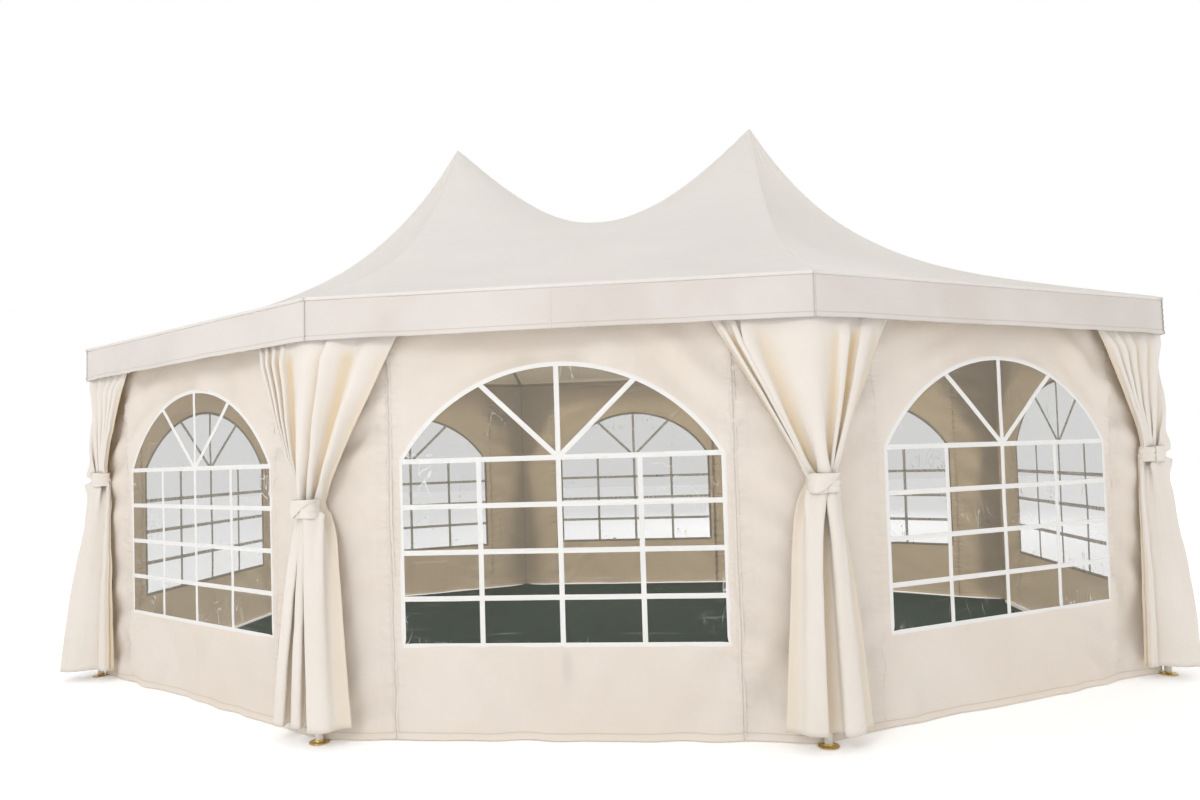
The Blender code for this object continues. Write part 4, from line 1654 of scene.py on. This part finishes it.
@dataclass(frozen=True)
class Curtain(Part):
    """A curtain outside one pole: wide under the valance, gathered at its tie, flared below.

    Attributes:
        corner: Which of the eight corners.
        tie_level: Height of its tie.
        drape: How it hangs.
        top: Height of its upper edge.
        waist: Half its width at the tie.
        width: Width of the flat cloth.
        depth: Greatest depth of its folds.
        covered_depth: The same under the valance.
        valance: Height of the valance's lower edge.
        tie_height: Height of the part that the tie presses.
        slide: How far a leaning bundle lies beside its pole.
        hug: How far the cloth is drawn in beside the pole at the tie.
        cloth: Thickness of the cloth.
        columns: Points across the cloth.
        rows: Points from the hem to the tie, and from the tie to the top.
    """

    corner: Corner
    tie_level: float
    drape: Drape
    top: float = 2.135
    waist: float = 0.060
    width: float = 1.26
    depth: float = 0.082
    covered_depth: float = 0.021
    valance: float = 1.975
    tie_height: float = 0.088
    slide: float = 0.10
    hug: float = 0.036
    cloth: float = 0.0014
    columns: int = 121
    rows: tuple[int, int] = (38, 36)

    def reach(self, side: int, up: Points, down: Points) -> Points:
        """How far an edge lies from the pole: straight down to the tie, then flared, then straight.

        Args:
            side: 0 for the left edge and 1 for the right one.
            up: Share of the way from the tie to the top.
            down: Share of the way from the tie to the hem.

        Returns:
            The distances.
        """
        widening = self.drape.top[side] - self.waist
        above = self.waist + widening * np.maximum(up - 0.03, 0) ** 1.03
        burst = self.drape.burst[side]
        flare = burst * (1 - np.exp(-down / 0.09)) + (1 - burst) * down
        return above + (self.drape.hem[side] - self.waist) * np.where(down > 0, flare, 0)

    def section(self, across: Points, up: Points, down: Points, room: Points) -> tuple[Points, Points]:
        """Cross-sections of the cloth as (sideways, outward) from the middle of the pole.

        Each row of cloth is one curve of constant length whose direction swings to and fro
        like a river's, direction = k sin(way between valley and ridge). The factor k is found
        for each height by halving, so that the curve is as wide as the curtain is there.

        Args:
            across: Places across the cloth, one row.
            up: Share of the way from the tie to the top, one column.
            down: Share of the way from the tie to the hem, one column.
            room: Greatest depth of the folds, one column.

        Returns:
            Both coordinates for each height and place.
        """
        left, right = self.reach(0, up, down), self.reach(1, up, down)
        away = np.where(up > 0, up, down)
        closeness = (1 - away) ** np.where(up > 0, 2.2, 5.0)
        under = smooth((self.tie_share(up, down) + 1) / 2)
        turn = self.drape.above.turn(across, closeness) * (1 - under)
        turn = turn + self.drape.below.turn(across, closeness) * under
        wanted = (left + right) / self.width
        # Beyond 2.35 radians the curve would cut itself
        low, high = np.zeros_like(wanted), 2.35 / np.abs(turn).max(axis=1, keepdims=True)
        for _ in range(32):
            middle = (low + high) / 2
            wide = np.cos(middle * turn).mean(axis=1, keepdims=True) > wanted
            low, high = np.where(wide, middle, low), np.where(wide, high, middle)
        direction = low * turn
        step = np.diff(across) * self.width
        run, lift = (
            np.pad(np.cumsum((way[:, 1:] + way[:, :-1]) / 2 * step, axis=1), ((0, 0), (1, 0)))
            for way in (np.cos(direction), np.sin(direction))
        )
        lift = lift - lift[:, -1:] * across
        lift = lift - lift.min(axis=1, keepdims=True)
        lift = lift * np.minimum(1.0, room / np.maximum(lift.max(axis=1, keepdims=True), 1e-6))
        return -left + (left + right) * run / run[:, -1:], lift

    @staticmethod
    def hollow(lift: Points, span: int = 15, deep: float = 0.017) -> Points:
        """How deep each place lies below its neighbours' mean, 1 at a depth of deep or more.

        Args:
            lift: How far the cloth stands out, row by row.
            span: How many neighbours.
            deep: The depth that counts as 1.

        Returns:
            The depths, from 0 to 1.
        """
        padded = np.pad(lift, ((0, 0), (span // 2 + 1, span // 2)), mode="edge")
        run = np.cumsum(padded, axis=1)
        return np.clip(((run[:, span:] - run[:, :-span]) / span - lift) / deep, 0, 1)

    def tie_share(self, up: Points, down: Points) -> Points:
        """Place under the band: -1 at its upper edge, 1 at its lower one.

        Args:
            up: Share of the way from the tie to the top.
            down: Share of the way from the tie to the hem.

        Returns:
            The places.
        """
        above = up * (self.top - self.tie_level)
        below = down * (self.tie_level - self.drape.rise)
        return np.clip((below - above) / (self.tie_height / 2), -1, 1)

    def build(self) -> bpy.types.Object:
        """Builds the curtain as rows from hem to top, each a folded line bent round the corner.

        The folds' depth is small under the valance, grows towards the tie and swells again at
        the hem. At a tie the cloth is drawn in beside the pole and fans out from there.

        Returns:
            The curtain.
        """
        out, side, half_turn = self.plan.corner_axes(self.corner.value)
        hem, lean = self.drape.rise, self.corner.lean
        below, above = self.rows
        rows = [np.linspace(hem, self.tie_level, below)[:-1], np.linspace(self.tie_level, self.top, above)]
        height = np.concatenate(rows)[:, None]
        across = np.linspace(0, 1, self.columns)
        up = np.clip((height - self.tie_level) / (self.top - self.tie_level), 0, 1)
        down = np.clip((self.tie_level - height) / (self.tie_level - hem), 0, 1)
        away = np.where(up > 0, up, down)
        free = smooth((self.valance - height) / 0.10)
        room = self.depth * free * (1 - 0.35 * smooth(up * 1.4))
        room = room + self.covered_depth * (1 - free) + self.drape.swing * down
        if lean:
            room = room * (1 - 0.35 * (1 - smooth(away / 0.75)))
        sideways, lift = self.section(across, up, down, room)
        flat_row, flat_column = across + 0 * height, height + 0 * across
        seed = 200 + 9 * self.corner.value
        crumple = 0.0030 * Ripples(seed, 0.09, 0.14).at(sideways + 0.3 * height, flat_column)
        crumple += 0.0022 * Ripples(seed + 1, 0.035, 0.07).at(flat_row, flat_column)
        crumple = crumple * free * smooth(np.where(up > 0, 1.1 - up, 1.3 - down))
        base = 0.0235 + 0.012 * np.sqrt(down)
        if lean:
            # The bundle slides along the walls' corner, and its outer part bends in behind the pole
            bend = np.full_like(up, half_turn)
            along = sideways + lean * self.slide * np.where(up > 0, 1 - up, 1 - 0.45 * down)
            hug = self.hug * np.where(up > 0, np.exp(-up / 0.10), 1 - 0.3 * down)
            hug = hug * smooth((lean * along - 0.030) / 0.05)
            lift = lift * (1 - 0.55 * free * smooth(up * 6) * bump_at(along, 0.0, 0.14))
        else:
            bend = half_turn * np.where(up > 0, 1 - (1 - up) ** 3, 0.75 * down)
            along = sideways
            hug = self.hug * np.where(up > 0, np.exp(-up / 0.10), np.exp(-down / 0.25))
            hug = hug * np.clip(np.abs(sideways) / self.waist, 0, 1.15) ** 2.4 * np.cos(bend)
        outward = (base + lift + crumple - hug) / np.cos(bend)
        outward = outward - soft_distance(along, CORNER_ROUNDING) * np.sin(bend)
        plan = self.plan.corners[self.corner.value] + (along * np.cos(bend))[..., None] * side
        plan = plan + outward[..., None] * out
        sag = 0.012 * Ripples(seed + 2, 0.22, 1.0).at(flat_row, flat_column) * smooth(down * 1.2 - 0.2)
        grid = np.concatenate([plan, (height + sag)[..., None]], axis=-1)
        # The fold map holds how deep the cloth lies in each fold, where its colour gets painted shade
        flat = np.broadcast_arrays(across * self.width, height, self.hollow(lift) * free)
        skin = Skin()
        skin.add(grid, np.stack(flat, axis=-1))
        cloth = skin.piece(f"curtain_cloth_{self.corner.label}", self.finishes.curtain)
        thicken(cloth, self.cloth)
        settle(cloth, "curtain_cloth", f"curtain_{self.corner.label}")
        return cloth


@dataclass(frozen=True)
class Tie(Part):
    """The band round a pole and its gathered curtain: a strap wound once, its end tucked over it.

    Attributes:
        corner: Which of the eight corners.
        level: Height of the band's middle.
        height: Height of the band.
        pole: Radius of the pole with the cloth's room round it.
        slide: How far a leaning bundle lies beside its pole.
        half_width: Half the bundle's width.
        half_depth: Half its depth.
        lean_share: Share of that depth that a leaning bundle has.
        centre: Distance of the bundle's middle outside the pole's.
        lean_centre: The same of a leaning bundle.
        cloth: Thickness of the cloth.
        flat_size: Length and width of the flat strap.
        start: Direction at which its end begins.
        run: Angle through which its end runs.
    """

    corner: Corner
    level: float
    height: float = 0.090
    pole: float = 0.0208
    slide: float = 0.10
    half_width: float = 0.066
    half_depth: float = 0.048
    lean_share: float = 0.77
    centre: float = 0.062
    lean_centre: float = 0.016
    cloth: float = 0.0016
    flat_size: tuple[float, float] = (0.46, 0.1)
    start: float = -2.1
    run: float = 3.25

    def loop(self, turn: Points, grow: Points | float) -> Points:
        """Points of the band's plan: the tightest line round the pole and the bundle, grown outwards.

        The pole is a circle and the bundle a blunt oval, cos^0.8 by sin^0.8. For each direction
        from their middle, the line's distance is the least, over all ways f, of how far the
        two shapes reach towards f, divided by the cosine of the angle between.

        Args:
            turn: Directions from the middle, 0 straight outwards from the tent.
            grow: Distance outside the tightest line.

        Returns:
            The points.
        """
        out, side, half_turn = self.plan.corner_axes(self.corner.value)
        lean = self.corner.lean
        angle = np.linspace(0, 2 * math.pi, 240, endpoint=False)
        ways = np.stack([np.cos(angle), np.sin(angle)])
        along = lean * self.slide + self.half_width * blunt(ways[1])
        centre, share = (self.lean_centre, self.lean_share) if lean else (self.centre, 1)
        depth = centre + self.half_depth * share * blunt(ways[0])
        bend = half_turn * abs(lean)
        outward = depth / math.cos(bend) - soft_distance(along, CORNER_ROUNDING) * math.sin(bend)
        bundle = np.stack([outward, along * math.cos(bend)], axis=1)
        shape = np.concatenate([bundle, self.pole * ways.T])
        middle = (shape.max(axis=0) + shape.min(axis=0)) / 2
        reach = ((shape - middle) @ ways).max(axis=0)
        facing = np.cos(angle - turn[0][:, None])
        distance = np.where(facing > 0.05, reach / np.maximum(facing, 0.05), np.inf).min(axis=1) + grow
        across = middle[0] + distance * np.cos(turn)
        sideways = middle[1] + distance * np.sin(turn)
        return self.plan.corners[self.corner.value] + across[..., None] * out + sideways[..., None] * side

    @staticmethod
    def flat(turn: Points, v: Points, height: float) -> Points:
        """Place on the flat strap, which has no deep folds."""
        return np.stack([turn * 0.08, v * height, np.zeros_like(turn)], axis=-1)

    def build(self) -> bpy.types.Object:
        """Builds the band and, over it, its end drawn slantwise across the front.

        Returns:
            The band.
        """
        seed = 400 + self.corner.value
        around, v = np.meshgrid(np.linspace(0, 2 * math.pi, 97)[:-1], np.linspace(-0.5, 0.5, 17))
        ripple = 0.0024 * np.sin(v * 16 + 2.4 * np.sin(around) + 2 * Ripples(seed, 0.8, 0.5).at(around, v))
        ripple = ripple + 0.0014 * Ripples(seed + 1, 0.5, 0.12).at(around, v)
        swell = 0.004 * np.cos(v * math.pi) + 0.004 * v
        tall = self.height * (1 + 0.10 * Ripples(seed + 2, 0.7, 3.0).at(around, v))
        plan = self.loop(around, ripple + swell)
        strap = Skin()
        grid = np.concatenate([plan, (self.level + v * tall)[..., None]], axis=-1)
        strap.add(grid, self.flat(around, v, 0.09), wrap=True)
        band = strap.piece(f"tie_band_{self.corner.label}", self.finishes.curtain)
        thicken(band, self.cloth)
        settle(band, "curtain_cloth", f"tie_{self.corner.label}")
        turn, v = np.meshgrid(np.linspace(self.start, self.start + self.run, 65), np.linspace(0, 1, 13))
        turn = turn - 0.9 * self.corner.lean
        share = (turn - turn[0, 0]) / self.run
        low = -0.5 + 0.86 * smooth((share - 0.35) / 0.65) + 0.03 * np.sin(share * 9)
        slant = self.level + self.height * (low + (0.52 - low) * v)
        folds = 0.0022 * np.sin(9 * v - 5 * share + 1.5 * Ripples(seed + 3, 0.5).at(turn, v))
        puff = 0.0025 if self.corner.lean else 0.0045
        arched = np.sin(v * math.pi).clip(0, 1)
        plan = self.loop(turn, 0.0062 + puff * np.sqrt(arched) + folds * arched)
        tuck = Skin()
        tuck.add(np.concatenate([plan, slant[..., None]], axis=-1), self.flat(turn, v, 0.07))
        end = tuck.piece(f"tie_end_{self.corner.label}", self.finishes.curtain)
        thicken(end, self.cloth)
        settle(end, "curtain_cloth")
        return band


@dataclass(frozen=True)
class Pole(Part):
    """A steel pole on its plated disc foot, with the socket fitting at its top.

    Attributes:
        corner: Which of the eight corners.
        radius: Radius of the tube.
        foot: Radius of the foot.
        sides: Points round each.
    """

    corner: Corner
    radius: float = 0.019
    foot: float = 0.05
    sides: int = 48

    def turned(
        self, name: str, profile: Sequence[tuple[float, float]], finish: bpy.types.Material
    ) -> bpy.types.Object:
        """A profile of (radius, height) turned about the pole's axis.

        Args:
            name: The piece's name.
            profile: The profile, from its lower end to its upper one.
            finish: Its material.

        Returns:
            The piece.
        """
        centre = self.plan.corners[self.corner.value]
        shape = np.array([(1e-5, profile[0][1]), *profile, (1e-5, profile[-1][1])])
        turn = np.linspace(0, 2 * math.pi, self.sides, endpoint=False)
        x = centre[0] + shape[:, :1] * np.cos(turn)
        y = centre[1] + shape[:, :1] * np.sin(turn)
        z = np.broadcast_to(shape[:, 1:], x.shape)
        skin = Skin()
        skin.add(np.stack([x, y, z], axis=-1), wrap=True)
        return skin.closed_piece(name, finish, merge=5e-5, sharp=35)

    def build(self) -> list[bpy.types.Object]:
        """Builds the foot, with its rolled rim and collar, and the tube with its fitting.

        Returns:
            The foot and the pole.
        """
        r, f = self.radius, self.foot
        foot = [
            (f - 0.004, 0.0), (f - 0.001, 0.0008), (f, 0.0026), (f, 0.0052), (f - 0.0012, 0.0068),
            (f - 0.0035, 0.0074), (f - 0.006, 0.0066), (f - 0.010, 0.0060), (r + 0.010, 0.0068),
            (r + 0.005, 0.0090), (r + 0.0016, 0.0150), (r + 0.0008, 0.0180),
        ]
        tube = [
            (r, 0.012), (r, 2.059), (r + 0.0028, 2.0602), (r + 0.0035, 2.062), (r + 0.0035, 2.1475),
            (r + 0.0028, 2.1495), (r, 2.150),
        ]
        label = self.corner.label
        disc = self.turned(f"foot_disc_{label}", foot, self.finishes.zinc)
        pole = self.turned(f"pole_tube_{label}", tube, self.finishes.tube)
        return [settle(disc, "steel"), settle(pole, "frame_steel", f"pole_{label}")]


@dataclass(frozen=True)
class Frame(Part):
    """The solids that keep their shape and only get a finish."""

    def build(self) -> list[bpy.types.Object]:
        """Dresses the eave tubes, the roof frames, the ridge tube and the floor sheet.

        Returns:
            The dressed pieces.
        """
        dressed = []
        for name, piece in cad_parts.items():
            if name.endswith(("_eave_tube", "ridge_tube")) or name.startswith("roof_frame"):
                finish = self.finishes.tube
            elif name == "groundsheet":
                finish = self.finishes.floor
            else:
                continue
            for slot in piece.material_slots:
                slot.material = finish
            dressed.append(piece)
        return dressed


@dataclass(frozen=True)
class Studio:
    """The plain pale floor, the soft light and the camera.

    Attributes:
        eye: The camera's place, fitted to the photo's corners as are the next five.
        yaw: Its turn about the upright axis, in radians.
        pitch: Its turn upwards.
        roll: Its turn about its own axis.
        focal: Its focal length in pixels of the photo.
        shift: Its shift as shares of the photo's width.
        photo_width: Width of the photo in pixels.
        sensor: Width of its sensor in millimetres.
        glow: Strength of the floor's own light, which keeps its shadows faint.
        sky: Strength of the light from all round, the white that the camera sees being 1.
    """

    eye: tuple[float, float, float] = (0.662, -6.29, 1.361)
    yaw: float = 0.1083
    pitch: float = 0.0303
    roll: float = -0.0307
    focal: float = 810.0
    shift: tuple[float, float] = (-0.00575, 0.0267)
    photo_width: int = 1200
    sensor: float = 36.0
    glow: float = 0.16
    sky: float = 0.93

    def build(self) -> None:
        """Lays the floor, hangs the lights and sets the camera."""
        floor = Skin()
        edge = np.linspace(-30, 30, 3)
        x, y = np.meshgrid(edge, edge)
        floor.add(np.stack([x, y, np.full_like(x, -0.0005)], axis=-1))
        pale, tree = new_tree("pale_studio_floor")
        white = linear("#ffffff")
        glow = {
            "Base Color": white,
            "Roughness": 0.8,
            "Emission Color": white,
            "Emission Strength": self.glow,
        }
        node(tree, "OutputMaterial", {"Surface": node(tree, "BsdfPrincipled", values=glow)})
        floor.piece("studio_floor", pale)
        world = bpy.data.worlds.new("studio")
        bpy.context.scene.world = world
        world.use_nodes = True
        sky = world.node_tree.nodes["Background"]
        sky.inputs["Color"].default_value = white
        seen = node(world.node_tree, "LightPath").outputs["Is Camera Ray"]
        strength = node(world.node_tree, "MapRange", {"Value": seen}, {"To Min": self.sky, "To Max": 1.0})
        world.node_tree.links.new(strength.outputs["Result"], sky.inputs["Strength"])
        self.lamp("key", (-3.0, -9.5, 7.0), 3.0, 230.0)
        self.lamp("back", (2.5, 10.0, 6.0), 6.0, 330.0)
        self.aim_camera()

    def aim_camera(self) -> None:
        """Sets the camera where the photo was taken from."""
        lens = bpy.data.cameras.new("camera")
        lens.sensor_width = self.sensor
        lens.lens = self.sensor * self.focal / self.photo_width
        lens.shift_x, lens.shift_y = self.shift
        lens.clip_end = 200.0
        camera = bpy.data.objects.new("camera", lens)
        bpy.context.collection.objects.link(camera)
        turn = Matrix.Rotation(self.yaw, 4, "Z") @ Matrix.Rotation(math.pi / 2 + self.pitch, 4, "X")
        turn = turn @ Matrix.Rotation(self.roll, 4, "Z")
        camera.matrix_world = Matrix.Translation(self.eye) @ turn
        bpy.context.scene.camera = camera
        bpy.context.scene.view_settings.view_transform = "Standard"

    def lamp(self, name: str, place: tuple[float, float, float], size: float, power: float) -> None:
        """Hangs one large square lamp that looks at the tent.

        Args:
            name: The lamp's name.
            place: Where it hangs.
            size: Length of its sides.
            power: Its power in watts.
        """
        light = bpy.data.lights.new(name, "AREA")
        light.shape = "SQUARE"
        light.size = size
        light.energy = power
        lamp = bpy.data.objects.new(name, light)
        bpy.context.collection.objects.link(lamp)
        aim = np.array((0.0, 0.0, 1.2)) - np.array(place)
        level = math.atan2(aim[1], aim[0]) - math.pi / 2
        tilt = math.atan2(aim[2], math.hypot(aim[0], aim[1])) + math.pi / 2
        turn = Matrix.Rotation(level, 4, "Z") @ Matrix.Rotation(tilt, 4, "X")
        lamp.matrix_world = Matrix.Translation(place) @ turn


# Heights of the ties above the floor, read off the photo where they show
TIE_LEVELS: dict[Corner, float] = {
    Corner.FRONT_LEFT: 1.15,
    Corner.FRONT_RIGHT: 1.21,
    Corner.RIGHT_FRONT: 1.28,
    Corner.RIGHT_BACK: 1.25,
    Corner.BACK_RIGHT: 1.18,
    Corner.BACK_LEFT: 1.22,
    Corner.LEFT_BACK: 1.26,
    Corner.LEFT_FRONT: 1.31,
}

# The curtains' folds, read off the photo's front left, front right and right outer corners
NARROW_LEFT = Drape(
    above=Folds(
        (0, 0.05, 0.10, 0.155, 0.21, 0.265, 0.32, 0.375, 0.43, 0.54, 0.655, 0.70, 0.82, 0.89, 1.0),
        (0.75, 0.75, 0.85, 0.85, 0.75, 0.75, 0.7, 0.6, 0.10, 0.10, 1.25, 0.32, 0.25, 0.20),
        (1.0, 1.0, 1.0, 1.0, 1.0, 1.0, 1.0, 1.0, 0.8, 0.8, 1.0, 0.9, 0.9, 0.9),
    ),
    below=Folds((0, 0.14, 0.30, 0.45, 0.60, 0.79, 1.0), (0.9, 1.0, 1.0, 1.0, 1.0, 0.8)),
    top=(0.53, 0.55),
    hem=(0.295, 0.205),
    burst=(0.15, 0.50),
    rise=0.088,
)
LONG_LEFT = Drape(
    above=Folds(
        (0, 0.055, 0.11, 0.17, 0.235, 0.30, 0.38, 0.52, 0.66, 0.72, 0.79, 0.86, 1.0),
        (0.9, 0.9, 0.8, 1.1, 0.9, 0.35, 0.10, 0.12, 0.45, 0.6, 0.7, 0.5),
    ),
    below=Folds((0, 0.20, 0.42, 0.51, 0.60, 0.80, 1.0), (0.6, 1.0, 1.0, 0.6, 0.7, 0.6)),
    top=(0.58, 0.52),
    hem=(0.21, 0.23),
    burst=(0.45, 0.25),
    rise=0.075,
)
FULL_LEFT = Drape(
    above=Folds(
        (0, 0.06, 0.12, 0.185, 0.25, 0.32, 0.39, 0.465, 0.54, 0.63, 0.72, 0.86, 1.0),
        (0.9, 0.9, 0.85, 0.9, 0.85, 0.8, 0.7, 0.7, 0.6, 0.6, 0.5, 0.4),
    ),
    below=Folds((0, 0.09, 0.17, 0.25, 0.34, 0.62, 1.0), (1.0, 1.1, 1.0, 1.0, 0.55, 0.5)),
    top=(0.64, 0.50),
    hem=(0.19, 0.215),
    burst=(0.10, 0.20),
    rise=0.080,
    swing=0.035,
)
FULL_RIGHT = replace(FULL_LEFT.mirrored(), rise=0.070, swing=0.090)
DRAPES: dict[Corner, Drape] = {
    Corner.FRONT_LEFT: NARROW_LEFT,
    Corner.FRONT_RIGHT: LONG_LEFT,
    Corner.RIGHT_FRONT: FULL_LEFT,
    Corner.RIGHT_BACK: FULL_RIGHT,
    Corner.BACK_RIGHT: NARROW_LEFT,
    Corner.BACK_LEFT: LONG_LEFT.mirrored(),
    Corner.LEFT_BACK: FULL_LEFT,
    Corner.LEFT_FRONT: FULL_RIGHT,
}


def main() -> None:
    """Builds the tent's looks in order and reports each piece."""
    logging.basicConfig(level=logging.INFO)
    plan, finishes = Plan(), Finishes()
    Studio().build()
    parts: list[Part] = [Frame(plan, finishes), Roof(plan, finishes), Skirt(plan, finishes)]
    parts += [Wall(plan, finishes, side) for side in Side]
    parts += [Pole(plan, finishes, corner) for corner in Corner]
    for corner, level in TIE_LEVELS.items():
        tie = Tie(plan, finishes, corner, level)
        parts += [tie, Curtain(plan, finishes, corner, level, DRAPES[corner])]
    for part in parts:
        made = part.build()
        for piece in made if isinstance(made, list) else [made]:
            LOG.info("%s: %d faces", piece.name, len(piece.data.polygons))


if __name__ == "__main__":
    main()
